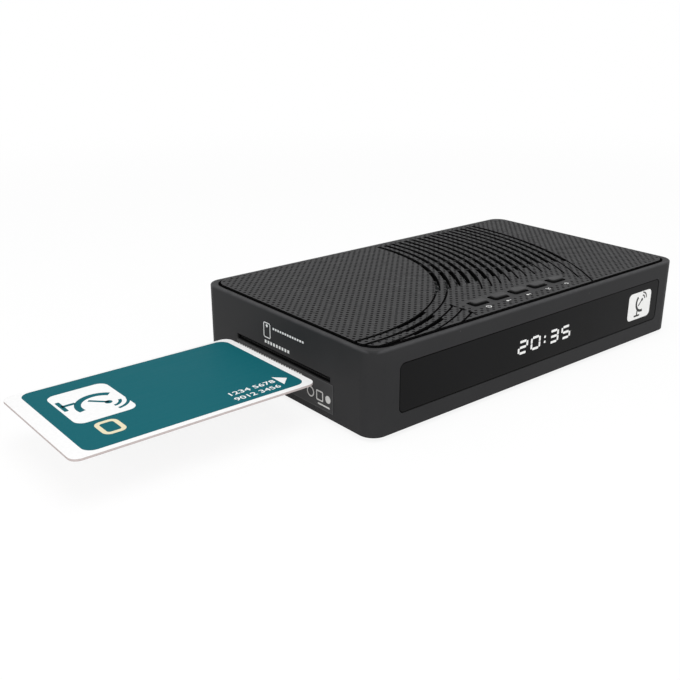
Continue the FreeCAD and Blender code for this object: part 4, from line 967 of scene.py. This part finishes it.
def makeKeyMarks(look):
    line, reach = look["line"] * mm, look["reach"] * mm
    sign, signMiddle = (reach * 0.85, line), (reach * 0.95, 0)
    foot, footMiddle = (reach * 1.3, line), (0, -reach)
    marks = {
        "power": [
            drawArc(reach, line, math.radians(125), math.radians(290)),
            drawBar((line, reach * 1.2), (0, reach * 0.6), line * 0.3),
        ],
        "quieter": drawSpeaker(reach) + [drawBar(sign, signMiddle)],
        "louder": drawSpeaker(reach)
        + [drawBar(sign, signMiddle), drawBar(sign, signMiddle, 0, math.radians(90))],
        "channelDown": drawArrowHead(line, reach, False) + [drawBar(foot, footMiddle)],
        "channelUp": drawArrowHead(line, reach, True) + [drawBar(foot, footMiddle)],
    }
    for label, shapes in marks.items():
        origin = inMetres((look["places"][label], look["row"], look["face"]))
        placeMark(shapes, label + "Mark", look["thickness"] * mm, panelFace, origin, markWhite)


makeKeyMarks(keyMarkSet)
print("key marks made")

clockSet = {
    "digits": (  # the lit segments of 2, 0, 3 and 5
        (1, 1, 0, 1, 1, 0, 1),
        (1, 1, 1, 1, 1, 1, 0),
        (1, 1, 1, 1, 0, 0, 1),
        (1, 0, 1, 1, 0, 1, 1),
    ),
    "width": 4.6,  # between the middles of the upright segments
    "height": 5.4,
    "line": 0.95,
    "pitch": 7.15,
    "colonGap": 3.5,
    "middle": (0.95, windowFront, 16.2),
    "thickness": 0.03,
}


def makeClock(look):
    # segments in the order top, upper right, lower right, bottom, lower left, upper left, middle
    width, height, line = look["width"] * mm, look["height"] * mm, look["line"] * mm
    gap = line * 0.12
    flat = drawBar((width - line - gap * 2, line), (0, 0), line * 0.3)
    upright = drawBar((line, (height - line) / 2 - gap * 2), (0, 0), line * 0.3)
    rise, side = (height - line) / 2, width / 2
    places = (
        (flat, 0, rise),
        (upright, side, rise / 2),
        (upright, side, -rise / 2),
        (flat, 0, -rise),
        (upright, -side, -rise / 2),
        (upright, -side, rise / 2),
        (flat, 0, 0),
    )
    pitch, colonGap = look["pitch"] * mm, look["colonGap"] * mm
    inner, outer = pitch / 2 + colonGap / 2, pitch * 1.5 + colonGap / 2
    columns = (-outer, -inner, inner, outer)
    shapes = []
    for column, lit in zip(columns, look["digits"]):
        for on, (segment, x, y) in zip(lit, places):
            if on:
                shapes.append(copyPiece(segment, (column + x, y, 0)))
    for y in (-rise * 0.45, rise * 0.45):
        shapes.append(drawBar((line, line), (0, y), line * 0.3))
    deselectAll()
    flat.select_set(True)
    upright.select_set(True)
    bpy.ops.object.delete()
    thickness = look["thickness"] * mm
    placeMark(shapes, "clockDigits", thickness, frontFace, inMetres(look["middle"]), markWhite)


makeClock(clockSet)
print("clock digits made")

badgeSet = {
    "size": (15.5, 11.6),
    "corner": 2.0,
    "middle": (61.8, windowFront, 16.5),
    "thickness": 0.03,
    "dish": 3.6,
}


def drawDish(reach):
    # a dish on its stand with two waves in front of it
    focus = (reach * 0.42, reach * 0.62)
    bowl = drawArc(reach, reach * 0.3, math.radians(135), math.radians(150), (reach * 0.35, reach * 0.3))
    arm = drawBar((reach * 0.95, reach * 0.16), (reach * 0.1, reach * 0.3), 0, math.radians(45))
    head = drawDisc(reach * 0.17, focus, 20)
    stand = drawBar((reach * 0.2, reach * 0.62), (-reach * 0.36, -reach * 0.9))
    foot = drawBar((reach * 1.1, reach * 0.2), (-reach * 0.36, -reach * 1.2), reach * 0.06)
    waves = [
        drawArc(reach * far, reach * 0.15, math.radians(5), math.radians(80), focus, 12)
        for far in (0.5, 0.85)
    ]
    return [bowl, arm, head, stand, foot, *waves]


def makeBadge(look):
    thickness = look["thickness"] * mm
    plate = drawBar(inMetres(look["size"]), (0, 0), look["corner"] * mm)
    x, y, z = inMetres(look["middle"])
    placeMark([plate], "badgePlate", thickness, frontFace, (x, y, z), markWhite)
    dish = drawDish(look["dish"] * mm)
    placeMark(dish, "badgeDish", thickness, frontFace, (x, y - thickness, z), markBlack)


makeBadge(badgeSet)
print("window badge made")

slotMarkSet = {
    "size": (4.2, 5.9),
    "corner": 0.8,
    "line": 0.36,
    "middle": (7.8, 23.8),  # y and z
    "chip": (7.8, 25.5, 0.6),  # y, z and radius
    "rows": [
        {"first": 3.7, "last": -13.5, "count": 13, "height": 25.4, "size": (0.95, 0.75)},
        {"first": 8.8, "last": -5.0, "count": 9, "height": 19.3, "size": (1.05, 1.15)},
    ],
    "face": leftWall,
    "thickness": 0.03,
}


def drawDashes(dashes):
    # a broken line, given by where its first and last dashes stand
    first = drawBar(inMetres(dashes["size"]), inMetres((-dashes["first"], dashes["height"])))
    step = (dashes["first"] - dashes["last"]) * mm / (dashes["count"] - 1)
    return [first] + [copyPiece(first, (step * i, 0, 0)) for i in range(1, dashes["count"])]


def makeSlotMark(look):
    # a card standing on end with its chip, and broken lines beside and under it
    y, z = look["middle"]
    outline = drawBar(inMetres(look["size"]), (-y * mm, z * mm), look["corner"] * mm)
    cutMiddle(outline, look["line"] * mm)
    y, z, radius = look["chip"]
    chip = drawDisc(radius * mm, (-y * mm, z * mm), 20)
    dashes = [dash for row in look["rows"] for dash in drawDashes(row)]
    origin = (look["face"] * mm, 0, 0)
    placeMark([outline, chip, *dashes], "slotMark", look["thickness"] * mm, leftFace, origin, markWhite)


makeSlotMark(slotMarkSet)

labelMarkSet = {
    "face": labelLow[0],
    "shapes": 8.7,  # middle height of the larger shapes
    "ring": (-17.7, 2.0, 0.5),  # y, radius and line
    "square": (-22.8, 3.8, 0.5),  # y, side and line
    "disc": (-27.3, 1.4),  # y and radius
    "bar": (-25.0, 5.7, 6.4, 0.6),  # y, z, length and height
    "dashes": {"first": 26.0, "last": -12.5, "count": 26, "height": 13.3, "size": (0.95, 0.42)},
    "thickness": 0.02,
}


def makeLabelMarks(look):
    # plain shapes and a broken line, which say nothing
    high = look["shapes"] * mm
    y, radius, line = inMetres(look["ring"])
    ring = cutMiddle(drawDisc(radius, (-y, high)), line)
    y, side, line = inMetres(look["square"])
    square = cutMiddle(drawBar((side, side), (-y, high), side * 0.15), line)
    y, radius = inMetres(look["disc"])
    disc = drawDisc(radius, (-y, high))
    y, z, length, height = inMetres(look["bar"])
    bar = drawBar((length, height), (-y, z))
    shapes = [ring, square, disc, bar, *drawDashes(look["dashes"])]
    origin = (look["face"] * mm, 0, 0)
    placeMark(shapes, "labelMarks", look["thickness"] * mm, leftFace, origin, markGrey)


makeLabelMarks(labelMarkSet)
print("left side marks made")

cardPrintSet = {
    "left": -170.4,
    "right": -92.6,
    "front": -25.3,
    "back": 25.2,
    "corner": 3.6,
    "face": cardTop,
    "thickness": 0.025,
    "badge": {"middle": (-154.6, 5.2), "size": (20.5, 25.0), "corner": 3.2, "dish": 7.2},
    "frame": {"middle": (-157.6, -14.3), "size": (7.6, 9.6), "corner": 2.4, "line": 1.5},
    "arrow": {"tip": (-95.4, -18.2), "long": 3.7, "wide": 7.4},
    "rows": {
        "left": -118.5,
        "heights": (-18.7, -23.0),
        "size": 3.3,
        "width": 17.5,
        "words": ("1234 5678", "9012 3456"),
    },
}


def writeDigits(words, size, width, place, thickness):
    # a row of figures, drawn out to a given width
    deselectAll()
    bpy.ops.object.text_add(location=(0, 0, 0))
    writing = bpy.context.object
    writing.data.body = words
    writing.data.size = size
    writing.data.offset = size * 0.012
    writing.data.extrude = thickness / 2
    writing.data.resolution_u = 3
    bpy.ops.object.convert(target="MESH")
    writing.scale = (width / writing.dimensions.x, 1, 1)
    writing.location = (*place, thickness / 2)
    applyPlace(writing)
    return writing


def drawArrow(arrow):
    # an equal-sided triangle, stretched to its length and width, which points to the right
    head = drawDisc(1, (0, 0), 3, math.radians(-90))
    long, wide = arrow["long"] / 1.5 * mm, arrow["wide"] / math.sqrt(3) * mm
    head.scale = (long, wide, 1)
    head.location = (arrow["tip"][0] * mm - long, arrow["tip"][1] * mm, 0)
    applyPlace(head)
    return head


def makeCardPrint(look):
    deep, face = look["thickness"] * mm, look["face"] * mm
    over, own = face + deep, ("card", "card_plastic")
    left, right, front, back = inMetres(look[side] for side in ("left", "right", "front", "back"))
    size, middle = (right - left, back - front), ((right + left) / 2, (back + front) / 2)
    panel = drawBar(size, middle, look["corner"] * mm)
    placeMark([panel], "cardPanel", deep, panelFace, (0, 0, face), cardTeal, *own)

    badge, border = look["badge"], look["frame"]
    square = drawBar(inMetres(badge["size"]), inMetres(badge["middle"]), badge["corner"] * mm)
    shapes = [square, drawArrow(look["arrow"])]
    placeMark(shapes, "cardMarks", deep, panelFace, (0, 0, over), cardWhite, *own)

    dish, origin = drawDish(badge["dish"] * mm), (*inMetres(badge["middle"]), over + deep)
    placeMark(dish, "cardDish", deep, cardFace, origin, cardTeal, *own)

    ring = drawBar(inMetres(border["size"]), inMetres(border["middle"]), border["corner"] * mm)
    cutMiddle(ring, border["line"] * mm)
    placeMark([ring], "cardRing", deep, panelFace, (0, 0, over), markGold, *own)

    rows = look["rows"]
    written = [
        writeDigits(words, rows["size"] * mm, rows["width"] * mm, (rows["left"] * mm, height * mm), deep)
        for words, height in zip(rows["words"], rows["heights"])
    ]
    numbers = joinPieces(written, "cardNumbers")
    carryTo(numbers, panelFace, (0, 0, over))
    finishPiece(numbers, "cardNumbers", *own, cardWhite)


makeCardPrint(cardPrintSet)
print("card print made")

antennaSocketSet = {
    "barrels": {"lnbInputBarrel": "lnb_input_socket", "lnbOutputBarrel": "lnb_output_socket"},
    "back": 46.0,
    "wall": rearFace,
    "mouth": antennaMouth,
    "collar": 5.4,
    "collarEdge": 0.35,  # of its sloped edge
    "crest": 4.75,
    "root": 4.32,
    "rootDepth": 0.12,  # how far a tooth is let into the barrel
    "pitch": 0.794,
    "toothWidth": 0.86,  # shares of the pitch, and of the tooth's own width
    "toothTip": 0.16,
    "threadStart": 50.6,
    "threadEnd": 58.6,
    "mouthEdge": (0.3, 0.15),  # along and across
    "bore": 3.4,
    "boreEdge": 0.12,
    "boreDepth": 9.0,
    "sides": 48,
    "threadSteps": 32,
}


def makeAntennaSocket(look):
    # a turned barrel, lying along y, with a rolled thread
    deselectAll()
    bpy.ops.mesh.primitive_circle_add(
        vertices=look["sides"],
        radius=look["collar"] * mm,
        fill_type="NGON",
        location=(0, look["back"] * mm, 0),
        rotation=(math.radians(90), 0, 0),
    )
    barrel = bpy.context.object
    applyPlace(barrel)
    startEdit()
    bpy.ops.mesh.select_mode(type="FACE")
    bpy.ops.mesh.select_all(action="SELECT")

    def pull(length):
        extrudeBy((0, length * mm, 0))

    def widen(start, end):
        bpy.ops.transform.resize(value=(end / start, 1, end / start))

    collarFace = look["collar"] - look["collarEdge"]
    pull(look["wall"] - look["back"] - look["collarEdge"])
    pull(look["collarEdge"])
    widen(look["collar"], collarFace)
    bpy.ops.mesh.inset(thickness=(collarFace - look["root"]) * mm)
    pull(look["threadStart"] - look["wall"])
    pull(look["threadEnd"] - look["threadStart"])
    along, across = look["mouthEdge"]
    pull(look["mouth"] - look["threadEnd"] - along)
    pull(along)
    widen(look["root"], look["root"] - across)
    boreMouth = look["bore"] + look["boreEdge"]
    bpy.ops.mesh.inset(thickness=(look["root"] - across - boreMouth) * mm)
    pull(-look["boreEdge"])
    widen(boreMouth, look["bore"])
    pull(look["boreEdge"] - look["boreDepth"])
    endEdit()

    deep = look["crest"] - look["root"] + look["rootDepth"]
    size = inMetres((deep, look["pitch"] * look["toothWidth"]))
    tooth = drawBar(size, inMetres((look["crest"] - deep / 2, look["threadStart"] + look["pitch"] / 2)))
    startEdit()
    selectWhere("VERT", lambda place: place.x > look["root"] * mm)
    bpy.ops.transform.resize(value=(1, look["toothTip"], 1))
    endEdit()
    turns = round((look["threadEnd"] - look["threadStart"]) / look["pitch"]) - 1
    screw = tooth.modifiers.new("thread", "SCREW")
    screw.axis = "Y"
    screw.angle = math.radians(360 * turns)
    screw.screw_offset = look["pitch"] * turns * mm
    screw.steps = look["threadSteps"] * turns
    screw.render_steps = screw.steps
    screw.use_merge_vertices = False
    screw.use_normal_calculate = True
    bpy.ops.object.modifier_apply(modifier=screw.name)
    startEdit()
    mergeDoubles()
    bpy.ops.mesh.select_all(action="DESELECT")
    bpy.ops.mesh.select_mode(type="EDGE")
    bpy.ops.mesh.select_non_manifold(extend=False)
    bpy.ops.mesh.fill()
    endEdit()
    return joinPieces([barrel, tooth], "antennaSocket")


def makeAntennaSockets(look):
    pattern = makeAntennaSocket(look)
    for name, node in look["barrels"].items():
        x = endOf(node, 0, 1) - look["collar"]
        socket = copyPiece(pattern, inMetres((x, 0, middleOf(node, 2))))
        finishPiece(socket, name, "case", "nickel", nickelPlate, 40)
        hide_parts(node)
    bpy.data.objects.remove(pattern)


makeAntennaSockets(antennaSocketSet)
print("antenna sockets made")


def drawBlock(size, middle):
    deselectAll()
    bpy.ops.mesh.primitive_cube_add(size=1, location=(0, 0, 0))
    block = bpy.context.object
    block.scale = inMetres(size)
    block.location = inMetres(middle)
    applyPlace(block)
    return block


networkContactSet = {
    "middle": middleOf("lan_socket", 0),
    "top": 22.5,  # roof of the mouth
    "back": 36.2,
    "front": 47.6,
    "pitch": 1.02,
    "count": 8,
    "wire": (0.36, 0.3),
    "end": 0.6,  # the straight piece at the front
    "drop": 3.4,
    "bends": ((0.12, 0.03), (0.25, 0.3), (0.3, 0.45), (0.22, 0.22)),  # shares of the run and of the drop
}


def makeNetworkContacts(look):
    # eight sprung wires that slope down from the roof of the mouth towards its back
    wide, thick = look["wire"]
    first = look["middle"] - look["pitch"] * (look["count"] - 1) / 2
    wire = drawBlock((wide, look["end"], thick), (first, look["front"], look["top"] - thick / 2))
    startEdit()
    selectWhere("FACE", lambda centre, normal: normal.y < -0.9)
    run = look["front"] - look["back"]
    for along, down in look["bends"]:
        extrudeBy(inMetres((0, -run * along, -look["drop"] * down)))
    endEdit()
    repeatAlong(wire, look["count"], (look["pitch"] * mm, 0, 0))
    finishPiece(wire, "networkContacts", "case", "contact_gold", contactGold, 50)


makeNetworkContacts(networkContactSet)

networkLampSet = {
    "middle": middleOf("lan_socket", 0),
    "spread": 5.4,
    "height": 23.45,
    "size": (2.6, 1.2),
    "corner": 0.25,
    "face": rearFace,
    "proud": 0.12,
    "edge": 0.4,  # how much of that is sloped
    "colours": {"networkLampGreen": (0.05, 0.32, 0.06), "networkLampAmber": (0.55, 0.22, 0.02)},
}


def makeNetworkLamps(look):
    # small lens blocks set over the mouth
    for side, (name, colour) in zip((-1, 1), look["colours"].items()):
        lens = drawBar(inMetres(look["size"]), (0, 0), look["corner"] * mm)
        startEdit()
        bpy.ops.mesh.select_all(action="SELECT")
        for share in (1 - look["edge"], look["edge"]):
            extrudeBy((0, 0, look["proud"] * share * mm))
        bpy.ops.transform.resize(value=(0.9, 0.85, 1))
        endEdit()
        place = (look["middle"] + side * look["spread"], look["face"], look["height"])
        carryTo(lens, backFace, inMetres(place))
        finish = polishedPlastic(name, {"colour": colour, "roughness": 0.2, "specular": 0.5})
        finishPiece(lens, name, "case", "lamp_lens", finish, 40)


makeNetworkLamps(networkLampSet)

tongueContactSet = {
    "usbContacts": {
        "middle": middleOf("usb_socket", 0),
        "count": 4,
        "pitch": 2.4,
        "size": (1.1, 7.6, 0.14),
        "front": 46.9,
        "face": 13.05,
        "side": -1,  # under its tongue
    },
    "hdmiContacts": {
        "middle": middleOf("hdmi_socket", 0),
        "count": 10,
        "pitch": 0.98,
        "size": (0.42, 6.2, 0.1),
        "front": 46.9,
        "face": 14.45,
        "side": 1,  # on its tongue
    },
}


def makeTongueContacts(sets):
    # gilt strips laid in the tongue, rounded at their front ends
    for name, look in sets.items():
        long, thick = look["size"][1:]
        first = look["middle"] - look["pitch"] * (look["count"] - 1) / 2
        height = look["face"] + look["side"] * thick * 0.25
        strip = drawBlock(look["size"], (first, look["front"] - long / 2, height))
        front, face, side = (look["front"] - 0.01) * mm, look["face"] * mm, look["side"]

        def isFrontEdge(a, b):
            return all(end.y > front and (end.z - face) * side > 0 for end in (a, b))

        startEdit()
        selectWhere("EDGE", isFrontEdge)
        bpy.ops.mesh.bevel(offset=thick * 0.5 * mm, segments=3)
        endEdit()
        repeatAlong(strip, look["count"], (look["pitch"] * mm, 0, 0))
        finishPiece(strip, name, "case", "contact_gold", contactGold, 40)


makeTongueContacts(tongueContactSet)

jackRingSet = {
    "middle": (middleOf("av_jack", 0), middleOf("av_jack", 2)),
    "outer": 2.55,
    "inner": 1.8,
    "face": rearFace,
    "proud": 0.35,
}


def makeJackRing(look):
    # plated collar round the jack's mouth
    x, z = look["middle"]
    ring = cutMiddle(drawDisc(look["outer"] * mm, (0, 0), 40), (look["outer"] - look["inner"]) * mm)
    startEdit()
    bpy.ops.mesh.select_all(action="SELECT")
    extrudeBy((0, 0, look["proud"] * mm))
    high = look["proud"] * 0.9 * mm
    selectWhere("EDGE", lambda a, b: min(a.z, b.z) > high and abs(a.length - b.length) < 0.00001)
    bpy.ops.mesh.bevel(offset=0.12 * mm, segments=2)
    endEdit()
    carryTo(ring, backFace, inMetres((x, look["face"], z)))
    finishPiece(ring, "jackRing", "case", "nickel", nickelPlate, 40)


makeJackRing(jackRingSet)

lightFlapSet = {
    "middle": (middleOf("digital_audio_socket", 0), middleOf("digital_audio_socket", 2)),
    "side": 6.4,
    "corner": 0.5,
    "face": 45.6,
    "thickness": 0.7,
    "border": 1.1,
    "recess": 0.25,
}


def makeLightFlap(look):
    # sprung flap behind the mouth of the light socket, with its finger recess
    x, z = look["middle"]
    flap = drawBar(inMetres((look["side"], look["side"])), (0, 0), look["corner"] * mm)
    startEdit()
    bpy.ops.mesh.select_all(action="SELECT")
    extrudeBy((0, 0, look["thickness"] * mm))
    bpy.ops.mesh.inset(thickness=look["border"] * mm)
    extrudeBy((0, 0, -look["recess"] * mm))
    bpy.ops.transform.resize(value=(0.9, 0.9, 1))
    endEdit()
    carryTo(flap, backFace, inMetres((x, look["face"], z)))
    finishPiece(flap, "lightFlap", "case", "socket_black", socketBlack, 30)


makeLightFlap(lightFlapSet)
print("rear socket details made")

# camera, floor and lights
cameraSet = {
    "place": (-0.25956, -0.24678, 0.13729),
    "yaw": 39.32,
    "down": 20.88,
    "roll": -0.10,
    "lens": 48.25,
    "sensor": 36.0,
}


def makeCamera(look):
    yaw, down, roll = (math.radians(look[key]) for key in ("yaw", "down", "roll"))
    ahead = Vector((math.sin(yaw) * math.cos(down), math.cos(yaw) * math.cos(down), -math.sin(down)))
    right = Vector((math.cos(yaw), -math.sin(yaw), 0.0))
    up = right.cross(ahead)
    right, up = (
        right * math.cos(roll) + up * math.sin(roll),
        up * math.cos(roll) - right * math.sin(roll),
    )
    data = bpy.data.cameras.new("viewCamera")
    data.lens = look["lens"]
    data.sensor_width = look["sensor"]
    data.clip_start = 0.01
    data.clip_end = 50.0
    camera = bpy.data.objects.new("viewCamera", data)
    bpy.context.scene.collection.objects.link(camera)
    turn = Matrix((right, up, -ahead)).transposed().to_4x4()
    camera.matrix_world = Matrix.Translation(Vector(look["place"])) @ turn
    bpy.context.scene.camera = camera


makeCamera(cameraSet)

floorLook = {"colour": (0.9, 0.9, 0.9), "size": 8.0, "shadowKept": 0.12, "fadeStart": 0.25, "fadeEnd": 0.7}


def makeFloor(look):
    deselectAll()
    bpy.ops.mesh.primitive_plane_add(size=look["size"], location=(0, 0, 0))
    floor = bpy.context.object
    floor.name = "floor"
    material, tree, shader, place = newMaterial("floorPaper")
    grain = addNoise(tree, place, 900.0, 2.0)
    setSurface(tree, shader, mottled(tree, grain, look["colour"], 0.99, 1.01), 0.9, 0.1)
    away = addNode(tree, "ShaderNodeVectorMath", {0: place}, operation="LENGTH").outputs["Value"]
    kept = remap(tree, away, look["fadeStart"], look["fadeEnd"], 1.0 - look["shadowKept"], 1.0, smooth=True)
    paper = addNode(tree, "ShaderNodeEmission", {"Color": (1, 1, 1, 1), "Strength": 1.0})
    mixed = addNode(
        tree,
        "ShaderNodeMixShader",
        {0: work(tree, "MULTIPLY", seenDirectly(tree), kept), 1: shader.outputs[0], 2: paper.outputs[0]},
    )
    tree.links.new(mixed.outputs[0], tree.nodes["Material Output"].inputs["Surface"])
    floor.data.materials.append(material)


makeFloor(floorLook)

worldLook = {"fill": 0.55}


def makeWorld(look):
    world = bpy.data.worlds.new("studio")
    world.use_nodes = True
    bpy.context.scene.world = world
    tree = world.node_tree
    strength = remap(tree, seenDirectly(tree), 0.0, 1.0, look["fill"], 1.0)
    setInputs(tree, tree.nodes["Background"], {"Color": (1, 1, 1, 1), "Strength": strength})


makeWorld(worldLook)

lampSet = {
    "top": {"place": (-0.15, -0.2, 0.9), "size": 0.8, "power": 4.8},
    "left": {"place": (-0.8, -0.3, 0.45), "size": 0.5, "power": 1.85},
    "front": {"place": (-0.1, -0.9, 0.35), "size": 0.6, "power": 1.3},
}


def makeLamp(name, look):
    # a round soft light that looks at the middle of the floor
    data = bpy.data.lights.new(name, "AREA")
    data.shape = "DISK"
    data.size = look["size"]
    data.energy = look["power"]
    lamp = bpy.data.objects.new(name, data)
    bpy.context.scene.collection.objects.link(lamp)
    lamp.location = look["place"]
    lamp.rotation_euler = (-Vector(look["place"])).to_track_quat("-Z", "Y").to_euler()


for name, look in lampSet.items():
    makeLamp(name + "Lamp", look)
bpy.context.scene.view_settings.view_transform = "Standard"
print("camera, floor and lights made")
